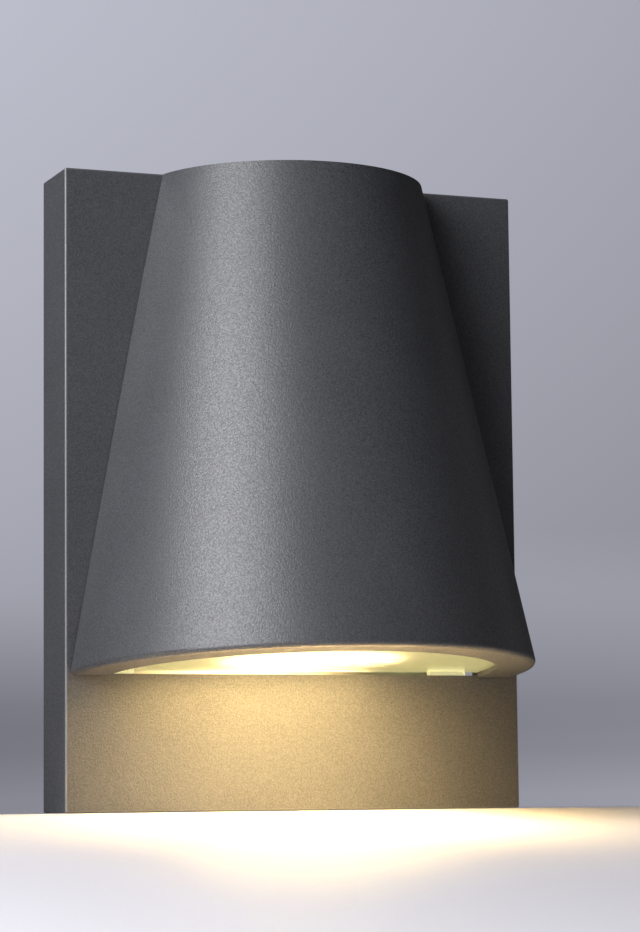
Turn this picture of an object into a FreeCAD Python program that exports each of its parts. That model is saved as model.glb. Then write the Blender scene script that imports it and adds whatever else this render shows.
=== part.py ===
import FreeCAD, Part
import math
import os
from FreeCAD import Placement, Rotation, Vector

# Wall light with a tilted half-cone shade on a shallow back box.
# Millimetres. The wall is the plane y = 0, the light stands out towards -Y, +Z is up,
# and the origin is the middle of the four wall-screw slots.

# ---- back box ----
housing_width = 180.0
housing_height = 236.0
box_depth = 28.0
box_wall = 3.0
box_corner_radius = 0.8
face_edge_radius = 0.5

# ---- half-cone shade: a round cone that leans out at the bottom, cut square to its axis ----
shade_tilt = 4.4
shade_half_angle = 10.5
rim_radius = 88.3
rim_height = 49.6
rim_ahead = 0.8
shade_wall = 3.0
rim_edge_radius = 1.75

# ---- lip that carries the glass, and the glass ----
lip_thickness = 2.0
glass_bearing = 3.1
glass_edge_gap = 0.4
glass_thickness = 4.0
glass_back_reach = 2.9
glass_edge_bevel = 0.4
glass_slot_margin = 2.9
seal_inset = 0.8
seal_width = 1.7
seal_thickness = 0.8
seal_end_angle = 5.0

# ---- clear clips on the glass's back edge ----
clip_width = 14.6
clip_arm = 1.4
clip_web = 1.2
clip_reach = 2.05
clip_left_inset = 5.5
clip_right_inset = 15.6

# ---- spring plates that hold the glass down on its lip ----
retainer_angles = (38.0, 90.0, 142.0)
retainer_boss_inset = 8.1
retainer_boss_radius = 3.2
retainer_arm = 7.4
retainer_tail = 3.0
retainer_width = 8.0
retainer_thickness = 0.8
retainer_screw_radius = 1.45
retainer_screw_length = 4.2
retainer_screw_head_radius = 2.6
retainer_screw_head_height = 1.7

# ---- back rim of the box, with its wall seal ----
rear_land_width = 6.0
rear_land_depth = 5.0
wall_seal_inset = 1.8
wall_seal_width = 2.4
wall_seal_depth = 1.8

# ---- pressed steel wall bracket ----
bracket_side_gap = 15.0
bracket_thickness = 2.0
bracket_bend = 1.5
bracket_top_gap = 10.0
bracket_shoulder_drop = 8.0
bracket_corner_radius = 8.0
bracket_tongue_width = 16.0
bracket_tongue_length = 17.0
bracket_tongue_inset = 1.0
flange_reach = 19.0
slot_spacing_x = 120.0
slot_spacing_z = 150.0
slot_width = 5.5
slot_length = 14.0
bracket_window_inset = 13.0
bracket_window_width = 20.0
bracket_window_height = 36.0

# ---- cable entry in the bracket ----
entry_height = 66.0
entry_hole_radius = 7.5
dish_depth = 4.0
dish_outer_radius = 20.0
dish_top_radius = 14.0
grommet_bore_radius = 4.5
grommet_flange_radius = 10.0
grommet_flange_thickness = 1.8

# ---- fixing screws through the underside ----
fixing_screw_inset = 30.0
fixing_screw_y = -13.0
fixing_screw_radius = 2.0
fixing_screw_length = 17.0
fixing_head_radius = 4.0
fixing_head_height = 2.3
fixing_socket_radius = 1.3
fixing_socket_depth = 1.6
nut_side = 7.0
nut_thickness = 2.2
nut_block_width = 14.0
nut_block_height = 8.0
nut_floor = 2.0
nut_block_back_wall = 1.5
lower_rib_thickness = 2.0
lower_rib_x = 30.0

# ---- lamp shelf ----
shelf_thickness = 1.5
shelf_width = 56.0
shelf_front_margin = 4.0
shelf_leg_height = 24.0
shelf_bend = 2.0
shelf_rib_height = 5.0
shelf_corner_radius = 14.0
shelf_window_width = 26.0
shelf_window_depth = 12.0
rivet_radius = 2.0
rivet_head_radius = 3.6
rivet_head_height = 1.5
rivet_x = 16.0
rivet_drop = 7.0

# ---- lampholder ----
lamp_y = -41.0
holder_radius = 37.0
holder_height = 15.0
holder_bevel = 1.5
holder_plate = 2.5
holder_recess_radius = 22.0
holder_ceiling = 7.5
channel_half_width = 3.4
pin_circle_radius = 26.5
pin_angles = (0.0, 180.0)
keyhole_slot_width = 3.5
keyhole_entry_radius = 3.0
lamp_turn_angle = 15.0
holder_screw_x = 15.0
holder_screw_radius = 1.5
holder_screw_length = 7.0
holder_screw_head_radius = 2.8
holder_screw_head_height = 2.0
contact_width = 3.0
contact_thickness = 0.5
contact_leg_radius = 1.0
contact_leg_angle = 2.0
lead_entry_behind_axis = 12.3

# ---- disc lamp ----
lamp_face_height = 60.7
lamp_height = 24.0
lamp_radius = 37.5
lamp_neck_radius = 32.0
lamp_shoulder_bevel = 2.0
lamp_rim_height = 7.0
lamp_wall = 2.0
lamp_hub_radius = 21.0
lamp_hub_height = 4.5
dome_radius = 34.5
dome_sag = 3.2
dome_wall = 2.0
dome_skirt = 2.0
dome_fit = 0.1
pin_neck_radius = 1.5
pin_head_radius = 2.6
pin_head_height = 1.4
led_board_radius = 31.5
led_board_thickness = 1.6
led_side = 3.0
led_height = 0.8
led_ring_radius = 21.0
led_count = 12
driver_board_radius = 24.0
driver_coil_radius = 6.0
driver_coil_height = 8.0
driver_can_radius = 4.8
driver_can_height = 9.0
driver_part_offset = 12.0

# ---- terminal block ----
terminal_height = 20.0
terminal_depth = 15.0
terminal_base_depth = 11.2
terminal_tower_gap = 1.6
terminal_tower_corner = 1.2
terminal_pitch = 10.0
terminal_poles = 3
terminal_bottom = 22.0
terminal_tube_radius = 2.9
terminal_tube_bore = 1.9
terminal_tube_inset = 2.0
terminal_screw_radius = 1.5
terminal_screw_spacing = 10.0
terminal_slot_width = 0.6
terminal_well_radius = 2.2
terminal_fixing_radius = 1.45
terminal_fixing_head_radius = 2.9
terminal_fixing_head_height = 1.45

# ---- earth connection ----
earth_x = 36.0
earth_z = 32.0
earth_screw_radius = 2.0
earth_head_radius = 3.8
earth_head_height = 2.6
washer_radius = 4.4
washer_thickness = 0.8
washer_notches = 8
washer_notch_radius = 0.8
lug_radius = 4.4
lug_thickness = 0.8
lug_barrel_radius = 1.8
lug_barrel_length = 7.0

# ---- leads ----
lead_radius = 1.1
lead_drop_from_terminal = 9.0
lead_rise_from_holder = 12.0
lead_entry_x = 7.3
earth_lead_dip = 8.0

# ---- clearances ----
screw_clearance = 0.05
sliding_gap = 0.2
hole_clearance = 0.2
running_gap = 0.3

X = Vector(1, 0, 0)
Y = Vector(0, 1, 0)
Z = Vector(0, 0, 1)

# ---- places worked out from the sizes ----
front_y = -box_depth
top_z = housing_height / 2
bottom_z = -housing_height / 2
inner_half_width = housing_width / 2 - box_wall
taper = math.tan(math.radians(shade_half_angle))
rim_centre = Vector(0, front_y - rim_ahead, bottom_z + rim_height)
rim_frame = Placement(rim_centre, Rotation(X, -shade_tilt))
wall_across = shade_wall / math.cos(math.radians(shade_half_angle))
inner_rim_radius = rim_radius - wall_across - lip_thickness * taper
retainer_boss_centre = rim_radius - retainer_boss_inset
glass_radius = retainer_boss_centre - retainer_boss_radius - glass_edge_gap
lip_opening_radius = glass_radius - glass_bearing
seal_inner_radius = lip_opening_radius + seal_inset
glass_slot_half_width = glass_radius + glass_slot_margin
glass_top = lip_thickness + glass_thickness
clip_left_x = clip_left_inset - glass_radius
clip_right_x = glass_radius - clip_right_inset
bracket_half_width = housing_width / 2 - bracket_side_gap
bracket_top = top_z - bracket_top_gap
bracket_tongue_x = bracket_half_width - bracket_tongue_inset - bracket_tongue_width / 2
fixing_screw_x = housing_width / 2 - fixing_screw_inset
pad_top = bottom_z + rear_land_width
flange_bottom = pad_top + sliding_gap
nut_block_bottom = flange_bottom + bracket_thickness + sliding_gap
nut_bottom = nut_block_bottom + nut_floor
nut_block_back = fixing_screw_y + nut_side / 2 + nut_block_back_wall
lamp_face_z = bottom_z + lamp_face_height
lamp_top = lamp_face_z + lamp_height
holder_bottom = lamp_top + running_gap
holder_top = holder_bottom + holder_height
bracket_face = -bracket_thickness
reach = 2 * housing_height


def block(x0, x1, y0, y1, z0, z1):
    return Part.makeBox(x1 - x0, y1 - y0, z1 - z0, Vector(x0, y0, z0))


def rod(radius, start, direction, length):
    return Part.makeCylinder(radius, length, start, direction)


def tilted(shape):
    """Moves a shape from the rim's own frame, where z = 0 is the rim's underside, onto the light."""
    moved = shape.copy()
    moved.Placement = rim_frame.multiply(moved.Placement)
    return moved


def polygon(points):
    return Part.Face(Part.makePolygon(points + points[:1]))


def rounded_block(x0, x1, y0, y1, z0, z1, radius, direction):
    """A block whose four edges along one direction are rounded."""
    solid = block(x0, x1, y0, y1, z0, z1)
    edges = [e for e in solid.Edges if e.tangentAt(e.FirstParameter).cross(direction).Length < 1e-6]
    return solid.makeFillet(radius, edges)


def turned(profile, centre):
    """A solid turned about a vertical axis, from (radius, height) points."""
    points = [centre + Vector(r, 0, z) for r, z in profile]
    return polygon(points).revolve(centre, Z, 360)


def slot_along_x(x, z, width, length, y0, y1):
    radius = width / 2
    half = length / 2 - radius
    body = block(x - half, x + half, y0, y1, z - radius, z + radius)
    ends = [rod(radius, Vector(x + side * half, y0, z), Y, y1 - y0) for side in (-1, 1)]
    return body.fuse(ends).removeSplitter()


def pan_screw(tip, direction, radius, length, head_radius, head_height, bevel=0.45, drive_share=0.3):
    """A screw whose shank starts at tip and runs along direction to its bevelled head.

    bevel is the bevelled share of the head's height, and drive_share the socket's share of its radius."""
    shank = rod(radius, tip, direction, length)
    head = rod(head_radius, tip + direction * length, direction, head_height)
    far = tip + direction * (length + head_height)
    rim = [e for e in head.Edges if abs((e.Vertexes[0].Point - far).dot(direction)) < 1e-6]
    head = head.makeChamfer(head_height * bevel, rim[:1])
    drive = rod(head_radius * drive_share, far - direction * (head_height / 2), direction, head_height)
    return shank.fuse(head).removeSplitter().cut(drive)


def save(name, shape):
    if isinstance(shape, (list, tuple)):
        shape = Part.makeCompound(list(shape))
    os.makedirs("parts", exist_ok=True)
    shape.exportStep("parts/%s.step" % name)
    valid = all(solid.isValid() for solid in shape.Solids)
    print("%-22s solids %d  volume %10.1f  valid %s" % (name, len(shape.Solids), shape.Volume, valid))


# ---------------------------------------------------------------- housing

def shade_cone(radius, start, length):
    """Round cone in the rim's frame, narrowing upwards by the shade's half angle."""
    return Part.makeCone(radius, radius - length * taper, length, Vector(0, 0, start))


def shade_outside():
    length = housing_height
    cone = shade_cone(rim_radius, 0, length)
    rim = [e for e in cone.Edges if e.Closed and abs(e.Vertexes[0].Point.z) < 1e-6]
    cone = cone.makeFillet(rim_edge_radius, rim[:1])
    limits = block(-reach, reach, -reach, front_y + box_wall, -reach, top_z)
    return tilted(cone).common(limits)


def box_outside():
    solid = rounded_block(-housing_width / 2, housing_width / 2, front_y, 0, bottom_z, top_z,
                          box_corner_radius, Y)
    front = [e for e in solid.Edges if all(abs(v.Point.y - front_y) < 1e-6 for v in e.Vertexes)]
    return solid.makeFillet(face_edge_radius, front)


def box_inside():
    hollow = block(-inner_half_width, inner_half_width, front_y + box_wall, 1,
                   bottom_z + box_wall, top_z - box_wall)
    land = rear_land_width - box_wall
    rim = block(-inner_half_width, inner_half_width, -rear_land_depth, 1,
                bottom_z + box_wall, top_z - box_wall)
    rim = rim.cut(block(-inner_half_width + land, inner_half_width - land, -reach, reach,
                        bottom_z + box_wall + land, top_z - box_wall - land))
    return hollow.cut(rim)


def shade_inside():
    cone = tilted(shade_cone(inner_rim_radius, lip_thickness, housing_height))
    return cone.common(block(-reach, reach, -reach, 0, -reach, top_z - box_wall))


def lip_opening():
    cutter = tilted(rod(lip_opening_radius, Vector(0, 0, -box_wall), Z, 2 * box_wall))
    return cutter.common(block(-reach, reach, -reach, front_y, -reach, reach))


def glass_slot():
    """Opening through the front wall that the glass's back edge and its clips reach into."""
    cutter = block(-glass_slot_half_width, glass_slot_half_width, -box_depth, box_depth,
                   lip_thickness - clip_arm, glass_top)
    return tilted(cutter).common(block(-reach, reach, front_y, front_y + box_wall, -reach, reach))


def seal_ring(width, height):
    """Flat ring in the lip's top face, open at the back."""
    middle = seal_inner_radius + seal_width / 2
    base = Vector(0, 0, lip_thickness - height)
    sweep = 180 - 2 * seal_end_angle
    outer = Part.makeCylinder(middle + width / 2, height, base, Z, sweep)
    inner = Part.makeCylinder(middle - width / 2, height, base, Z, sweep)
    ring = outer.cut(inner)
    ring.rotate(Vector(0, 0, 0), Z, 180 + seal_end_angle)
    return tilted(ring)


def retainer_place(angle):
    """Turns a shape made along +X to one of the retainers' directions."""
    return Placement(Vector(0, 0, 0), Rotation(Z, -angle))


def retainer_boss(angle):
    """Screw post on the lip, joined to the shade's wall by a short web."""
    centre = Vector(retainer_boss_centre, 0, lip_thickness / 2)
    height = glass_top - lip_thickness / 2
    post = rod(retainer_boss_radius, centre, Z, height)
    web = block(retainer_boss_centre, rim_radius - shade_wall / 2 - glass_top * taper,
                -retainer_boss_radius, retainer_boss_radius, lip_thickness / 2, glass_top)
    hole = rod(retainer_screw_radius + screw_clearance, centre + Z * lip_thickness / 2, Z, height)
    boss = post.fuse(web).cut(hole)
    boss.Placement = retainer_place(angle)
    return tilted(boss)


def wall_seal(width, depth):
    edge = wall_seal_inset + (wall_seal_width - width) / 2
    half_x = housing_width / 2 - edge
    half_z = housing_height / 2 - edge
    ring = block(-half_x, half_x, -depth, 0, -half_z, half_z)
    return ring.cut(block(-half_x + width, half_x - width, -depth, 0, -half_z + width, half_z - width))


def tongue_pocket(side):
    """Cast block under the box's top wall, with the slot that hangs on the bracket's tongue."""
    centre = side * bracket_tongue_x
    half = bracket_tongue_width / 2
    tongue_z = bracket_top - bracket_thickness
    body = block(centre - half - box_wall, centre + half + box_wall, front_y + box_wall,
                 -rear_land_depth - box_wall, tongue_z - box_wall, top_z - box_wall)
    slot = block(centre - half - hole_clearance, centre + half + hole_clearance,
                 bracket_face - bracket_tongue_length - hole_clearance, 0,
                 tongue_z - sliding_gap, bracket_top + sliding_gap)
    return body.cut(slot)


def nut_block(side):
    """Cast block over the bracket's flange that traps the fixing screw's nut."""
    x = side * fixing_screw_x
    half = nut_block_width / 2
    body = block(x - half, x + half, front_y + box_wall, nut_block_back,
                 nut_block_bottom, nut_block_bottom + nut_block_height)
    grip = nut_side / 2 + hole_clearance / 2
    pocket = block(x - grip, x + grip, fixing_screw_y - grip, 0,
                   nut_bottom, nut_bottom + nut_thickness + hole_clearance)
    return body.cut(pocket)


def flange_pad(side):
    """Raised pad on the box's bottom wall that the bracket's flange lies on."""
    x = side * fixing_screw_x
    half = nut_block_width / 2
    return block(x - half, x + half, front_y + box_wall, nut_block_back, bottom_z + box_wall, pad_top)


def fixing_hole(side):
    base = Vector(side * fixing_screw_x, fixing_screw_y, bottom_z)
    bore = rod(fixing_screw_radius + hole_clearance, base, Z, nut_block_bottom + nut_block_height - bottom_z)
    sink = Part.makeCone(fixing_head_radius + hole_clearance, fixing_screw_radius + hole_clearance,
                         fixing_head_height, base, Z)
    return bore.fuse(sink)


def lower_rib(x):
    """Cast stiffening rib inside the box below the glass."""
    half = lower_rib_thickness / 2
    return block(x - half, x + half, front_y + box_wall, -flange_reach - lower_rib_thickness,
                 bottom_z + box_wall, rim_centre.z - 2 * box_wall)


def make_housing():
    body = box_outside().fuse(shade_outside()).removeSplitter()
    body = body.cut([box_inside(), shade_inside(), lip_opening(), glass_slot()])
    additions = [retainer_boss(angle) for angle in retainer_angles]
    additions += [tongue_pocket(side) for side in (-1, 1)]
    additions += [nut_block(side) for side in (-1, 1)]
    additions += [flange_pad(side) for side in (-1, 1)]
    additions += [lower_rib(x) for x in (-lower_rib_x, 0, lower_rib_x)]
    body = body.fuse(additions)
    cuts = [fixing_hole(side) for side in (-1, 1)]
    cuts += [wall_seal(wall_seal_width, wall_seal_depth), seal_ring(seal_width, seal_thickness)]
    return body.cut(cuts).removeSplitter()


# ---------------------------------------------------------------- glass and what holds it

def make_glass():
    disc = rod(glass_radius, Vector(0, 0, lip_thickness), Z, glass_thickness)
    disc = disc.common(block(-reach, reach, -reach, glass_back_reach, -reach, reach))
    rims = [e for e in disc.Edges if abs(e.Vertexes[0].Point.z - e.Vertexes[-1].Point.z) < 1e-6]
    return tilted(disc.makeChamfer(glass_edge_bevel, rims))


def make_glass_clip(x):
    """U-shaped clip of clear silicone, pushed over the glass's back edge."""
    front = glass_back_reach - clip_reach
    back = glass_back_reach + clip_web
    profile = polygon([Vector(x - clip_width / 2, y, z) for y, z in (
        (front, lip_thickness - clip_arm), (back, lip_thickness - clip_arm), (back, glass_top + clip_arm),
        (front, glass_top + clip_arm), (front, glass_top), (glass_back_reach, glass_top),
        (glass_back_reach, lip_thickness), (front, lip_thickness))])
    return tilted(profile.extrude(Vector(clip_width, 0, 0)))


def make_retainer(angle):
    half = retainer_width / 2
    inner = retainer_boss_centre - retainer_arm
    outer = retainer_boss_centre + retainer_tail
    plate = rounded_block(inner, outer, -half, half, glass_top, glass_top + retainer_thickness,
                          2 * retainer_thickness, Z)
    hole = rod(retainer_screw_radius + screw_clearance, Vector(retainer_boss_centre, 0, 0), Z, 2 * glass_top)
    plate = plate.cut(hole)
    plate.Placement = retainer_place(angle)
    return tilted(plate)


def make_retainer_screw(angle):
    tip = Vector(retainer_boss_centre, 0, glass_top + retainer_thickness - retainer_screw_length)
    screw = pan_screw(tip, Z, retainer_screw_radius, retainer_screw_length,
                      retainer_screw_head_radius, retainer_screw_head_height)
    screw.Placement = retainer_place(angle)
    return tilted(screw)


# ---------------------------------------------------------------- fixing screws

def make_fixing_screw(side):
    base = Vector(side * fixing_screw_x, fixing_screw_y, bottom_z)
    head = Part.makeCone(fixing_head_radius, fixing_screw_radius, fixing_head_height, base, Z)
    shank = rod(fixing_screw_radius, base, Z, fixing_screw_length)
    socket = rod(fixing_socket_radius, base, Z, fixing_socket_depth)
    return shank.fuse(head).removeSplitter().cut(socket)


def make_nut(side):
    x = side * fixing_screw_x
    half = nut_side / 2
    nut = block(x - half, x + half, fixing_screw_y - half, fixing_screw_y + half,
                nut_bottom, nut_bottom + nut_thickness)
    bore = rod(fixing_screw_radius + screw_clearance, Vector(x, fixing_screw_y, nut_bottom), Z, nut_thickness)
    return nut.cut(bore)


# ---------------------------------------------------------------- wall bracket

def bent_strip(x0, x1, start, corner, end, thickness, bend):
    """Bent sheet strip in the YZ plane: two straight legs, square to each other, with a rounded bend.

    start, corner and end are (y, z) on the strip's outer side, and the strip lies inside the bend."""
    def point(y, z):
        return Vector(x0, y, z)

    def unit(a, b):
        step = Vector(0, b[0] - a[0], b[1] - a[1])
        return step.multiply(1 / step.Length)

    first = unit(corner, start)
    second = unit(corner, end)
    outer = bend + thickness
    c = point(*corner)
    s = point(*start)
    e = point(*end)
    centre = c + first * outer + second * outer
    diagonal = (first + second).multiply(1 / math.sqrt(2))
    edges = [
        Part.LineSegment(s, c + first * outer).toShape(),
        Part.Arc(c + first * outer, centre - diagonal * outer, c + second * outer).toShape(),
        Part.LineSegment(c + second * outer, e).toShape(),
        Part.LineSegment(e, e + first * thickness).toShape(),
        Part.LineSegment(e + first * thickness, c + second * outer + first * thickness).toShape(),
        Part.Arc(c + second * outer + first * thickness, centre - diagonal * bend,
                 c + first * outer + second * thickness).toShape(),
        Part.LineSegment(c + first * outer + second * thickness, s + second * thickness).toShape(),
        Part.LineSegment(s + second * thickness, s).toShape(),
    ]
    return Part.Face(Part.Wire(edges)).extrude(Vector(x1 - x0, 0, 0))


def cable_dish():
    """Pressed dish round the cable hole, standing forward of the bracket's plate."""
    lean = dish_outer_radius - dish_top_radius - bracket_thickness
    front = -dish_depth - bracket_thickness
    outline = [(dish_outer_radius, 0), (dish_outer_radius - bracket_thickness, 0),
               (dish_outer_radius - bracket_thickness - lean, -dish_depth), (entry_hole_radius, -dish_depth),
               (entry_hole_radius, front), (dish_top_radius, front), (dish_top_radius + lean, bracket_face),
               (dish_outer_radius, bracket_face)]
    face = polygon([Vector(r, y, entry_height) for r, y in outline])
    return face.revolve(Vector(0, 0, entry_height), Y, 360)


def make_bracket():
    half = bracket_half_width
    upper = bracket_top - bracket_shoulder_drop
    plate = bent_strip(-half, half, (0, upper), (0, flange_bottom), (-flange_reach, flange_bottom),
                       bracket_thickness, bracket_bend)
    corners = [e for e in plate.Edges if abs(e.tangentAt(e.FirstParameter).dot(Y)) > 0.99
               and abs(e.Vertexes[0].Point.z - upper) < 1e-6]
    plate = plate.makeFillet(bracket_corner_radius, corners)
    tongues = []
    for side in (-1, 1):
        centre = side * bracket_tongue_x
        tongues.append(bent_strip(centre - bracket_tongue_width / 2, centre + bracket_tongue_width / 2,
                                  (0, upper - 2 * bracket_corner_radius), (0, bracket_top),
                                  (bracket_face - bracket_tongue_length, bracket_top),
                                  bracket_thickness, bracket_bend))
    plate = plate.fuse(tongues)
    plate = plate.cut(rod(dish_outer_radius, Vector(0, -reach, entry_height), Y, 2 * reach))
    plate = plate.fuse(cable_dish()).removeSplitter()
    cuts = [slot_along_x(sx * slot_spacing_x / 2, sz * slot_spacing_z / 2, slot_width, slot_length,
                         bracket_face, 0) for sx in (-1, 1) for sz in (-1, 1)]
    for side in (-1, 1):
        x = side * fixing_screw_x
        gap = fixing_screw_radius + 3 * hole_clearance
        notch = rod(gap, Vector(x, fixing_screw_y, flange_bottom), Z, bracket_thickness)
        cuts += [notch, block(x - gap, x + gap, -reach, fixing_screw_y,
                              flange_bottom, flange_bottom + bracket_thickness)]
        cuts.append(rod(rivet_radius, Vector(side * rivet_x, bracket_face, rivet_z()), Y, bracket_thickness))
        terminal_hole = Vector(side * terminal_pitch / 2, bracket_face, terminal_middle())
        cuts.append(rod(terminal_fixing_radius + screw_clearance, terminal_hole, Y, bracket_thickness))
        half_width = bracket_window_width / 2
        window = side * (bracket_half_width - bracket_window_inset - half_width)
        half_height = bracket_window_height / 2
        cuts.append(rounded_block(window - half_width, window + half_width, bracket_face, 0,
                                  -half_height, half_height, bracket_thickness, Y))
    cuts.append(rod(earth_screw_radius + screw_clearance, Vector(earth_x, bracket_face, earth_z), Y,
                    bracket_thickness))
    return plate.cut(cuts)


def make_grommet():
    back = -dish_depth
    front = -dish_depth - bracket_thickness
    groove = entry_hole_radius
    rim = grommet_flange_thickness
    outline = [(grommet_bore_radius, back + rim), (grommet_flange_radius, back + rim),
               (grommet_flange_radius, back), (groove, back), (groove, front), (grommet_flange_radius, front),
               (grommet_flange_radius - rim, front - rim), (grommet_bore_radius, front - rim)]
    face = polygon([Vector(r, y, entry_height) for r, y in outline])
    return face.revolve(Vector(0, 0, entry_height), Y, 360)


# ---------------------------------------------------------------- lamp shelf

def rivet_z():
    return holder_top + shelf_leg_height - rivet_drop


def make_shelf():
    half = shelf_width / 2
    front = lamp_y - holder_radius + shelf_front_margin
    sheet = bent_strip(-half, half, (bracket_face, holder_top + shelf_leg_height), (bracket_face, holder_top),
                       (front, holder_top), shelf_thickness, shelf_bend)
    front_corners = [e for e in sheet.Edges if abs(e.tangentAt(e.FirstParameter).dot(Z)) > 0.99
                     and abs(e.Vertexes[0].Point.y - front) < 1e-6]
    sheet = sheet.makeFillet(shelf_corner_radius, front_corners)
    rib_front = front + shelf_corner_radius
    rib_back = bracket_face - shelf_thickness
    ribs = []
    for x in (-half, half - shelf_thickness):
        face = polygon([Vector(x, y, z) for y, z in (
            (rib_back, holder_top + shelf_thickness), (rib_front, holder_top + shelf_thickness),
            (rib_front, holder_top + shelf_thickness + shelf_rib_height / 2),
            (rib_back - shelf_leg_height / 2, holder_top + shelf_thickness + shelf_rib_height),
            (rib_back, holder_top + shelf_leg_height / 2))])
        ribs.append(face.extrude(Vector(shelf_thickness, 0, 0)))
    sheet = sheet.fuse(ribs)
    window_y = lead_entry_y()
    cuts = [rounded_block(-shelf_window_width / 2, shelf_window_width / 2, window_y - shelf_window_depth / 2,
                          window_y + shelf_window_depth / 2, holder_top, holder_top + shelf_thickness,
                          shelf_window_depth / 4, Z)]
    for side in (-1, 1):
        cuts.append(rod(rivet_radius, Vector(side * rivet_x, bracket_face, rivet_z()), -Y, shelf_thickness))
        cuts.append(rod(holder_screw_radius + screw_clearance,
                        Vector(side * holder_screw_x, lamp_y, holder_top), Z, shelf_thickness))
    return sheet.cut(cuts).removeSplitter()


def make_rivets(bevel=0.6):
    rivets = []
    front = bracket_face - shelf_thickness
    crown = front - rivet_head_height
    for side in (-1, 1):
        base = Vector(side * rivet_x, 0, rivet_z())
        head = rod(rivet_head_radius, base + Vector(0, front, 0), -Y, rivet_head_height)
        rim = [e for e in head.Edges if e.Closed and abs(e.Vertexes[0].Point.y - crown) < 1e-6]
        head = head.makeChamfer(rivet_head_height * bevel, rim[:1])
        rivets.append(rod(rivet_radius, base, -Y, -front).fuse(head).removeSplitter())
    return rivets


# ---------------------------------------------------------------- lampholder

def lead_entry_y():
    return lamp_y + lead_entry_behind_axis


def on_pin_circle(angle, z):
    turn = math.radians(angle)
    return Vector(pin_circle_radius * math.cos(turn), lamp_y + pin_circle_radius * math.sin(turn), z)


def arc_slot(width, bottom, height, from_angle, sweep):
    """Curved slot round the lamp's axis, with round ends."""
    centre = Vector(0, lamp_y, bottom)
    outer = Part.makeCylinder(pin_circle_radius + width / 2, height, centre, Z, sweep)
    inner = Part.makeCylinder(pin_circle_radius - width / 2, height, centre, Z, sweep)
    slot = outer.cut(inner)
    slot.rotate(centre, Z, from_angle)
    for angle in (from_angle, from_angle + sweep):
        slot = slot.fuse(rod(width / 2, on_pin_circle(angle, bottom), Z, height))
    return slot


def make_lampholder():
    centre = Vector(0, lamp_y, 0)
    edge = holder_radius - holder_bevel
    body = turned([(0, holder_bottom), (edge, holder_bottom), (holder_radius, holder_bottom + holder_bevel),
                   (holder_radius, holder_top - holder_bevel), (edge, holder_top), (0, holder_top)], centre)
    recess = rod(holder_recess_radius, centre + Z * holder_bottom, Z, lamp_hub_height + running_gap)
    channel_floor = centre + Z * (holder_bottom + holder_plate)
    channel_height = holder_ceiling - holder_plate
    outer = rod(pin_circle_radius + channel_half_width, channel_floor, Z, channel_height)
    inner = rod(pin_circle_radius - channel_half_width, channel_floor, Z, channel_height)
    cuts = [recess, outer.cut(inner)]
    for start in pin_angles:
        cuts.append(arc_slot(keyhole_slot_width, holder_bottom, holder_plate,
                             start - lamp_turn_angle, lamp_turn_angle))
        cuts.append(rod(keyhole_entry_radius, on_pin_circle(start - lamp_turn_angle, holder_bottom), Z,
                        holder_plate))
    for side in (-1, 1):
        screw_top = Vector(side * holder_screw_x, lamp_y, holder_top)
        cuts.append(rod(holder_screw_radius + screw_clearance, screw_top, -Z, holder_screw_length))
    return body.cut(cuts)


def make_contacts():
    """Two sprung strips over the pins' heads, each hanging from the channel's ceiling."""
    strips = []
    centre = Vector(0, lamp_y, 0)
    strip_bottom = pin_head_top() + running_gap
    ceiling = holder_bottom + holder_ceiling
    for start in pin_angles:
        outer = Part.makeCylinder(pin_circle_radius + contact_width / 2, contact_thickness,
                                  centre + Z * strip_bottom, Z, 2 * lamp_turn_angle)
        inner = Part.makeCylinder(pin_circle_radius - contact_width / 2, contact_thickness,
                                  centre + Z * strip_bottom, Z, 2 * lamp_turn_angle)
        strip = outer.cut(inner)
        strip.rotate(centre, Z, start - lamp_turn_angle)
        foot = on_pin_circle(start + lamp_turn_angle - contact_leg_angle, strip_bottom)
        leg = rod(contact_leg_radius, foot, Z, ceiling - strip_bottom)
        strips.append(strip.fuse(leg).removeSplitter())
    return strips


def make_holder_screws():
    tip = holder_top + shelf_thickness - holder_screw_length
    return [pan_screw(Vector(side * holder_screw_x, lamp_y, tip), Z, holder_screw_radius, holder_screw_length,
                      holder_screw_head_radius, holder_screw_head_height) for side in (-1, 1)]


# ---------------------------------------------------------------- disc lamp

def pin_head_top():
    return holder_bottom + holder_plate + running_gap + pin_head_height


def make_lamp_shell():
    """Turned shell of the disc lamp: rim round the dome, sloped shoulder, flat back and a hub."""
    rim_top = lamp_face_z + lamp_rim_height
    board_back = led_board_z() + led_board_thickness
    hub_top = lamp_top + lamp_hub_height
    bevel = lamp_shoulder_bevel
    board_seat = led_board_radius + sliding_gap
    dome_seat = dome_radius + dome_fit
    outside = [(lamp_radius, lamp_face_z), (lamp_radius, rim_top),
               (lamp_neck_radius + bevel / 2, lamp_top - bevel), (lamp_neck_radius - bevel / 2, lamp_top),
               (lamp_hub_radius, lamp_top), (lamp_hub_radius, hub_top), (0, hub_top)]
    inside = [(0, hub_top - lamp_wall), (lamp_hub_radius - lamp_wall, hub_top - lamp_wall),
              (lamp_hub_radius - lamp_wall, lamp_top - lamp_wall),
              (lamp_neck_radius - lamp_wall, lamp_top - lamp_wall),
              (led_board_radius - lamp_wall, board_back), (board_seat, board_back),
              (board_seat, lamp_face_z + dome_skirt), (dome_seat, lamp_face_z + dome_skirt),
              (dome_seat, lamp_face_z)]
    return turned(outside + inside, Vector(0, lamp_y, 0))


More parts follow.
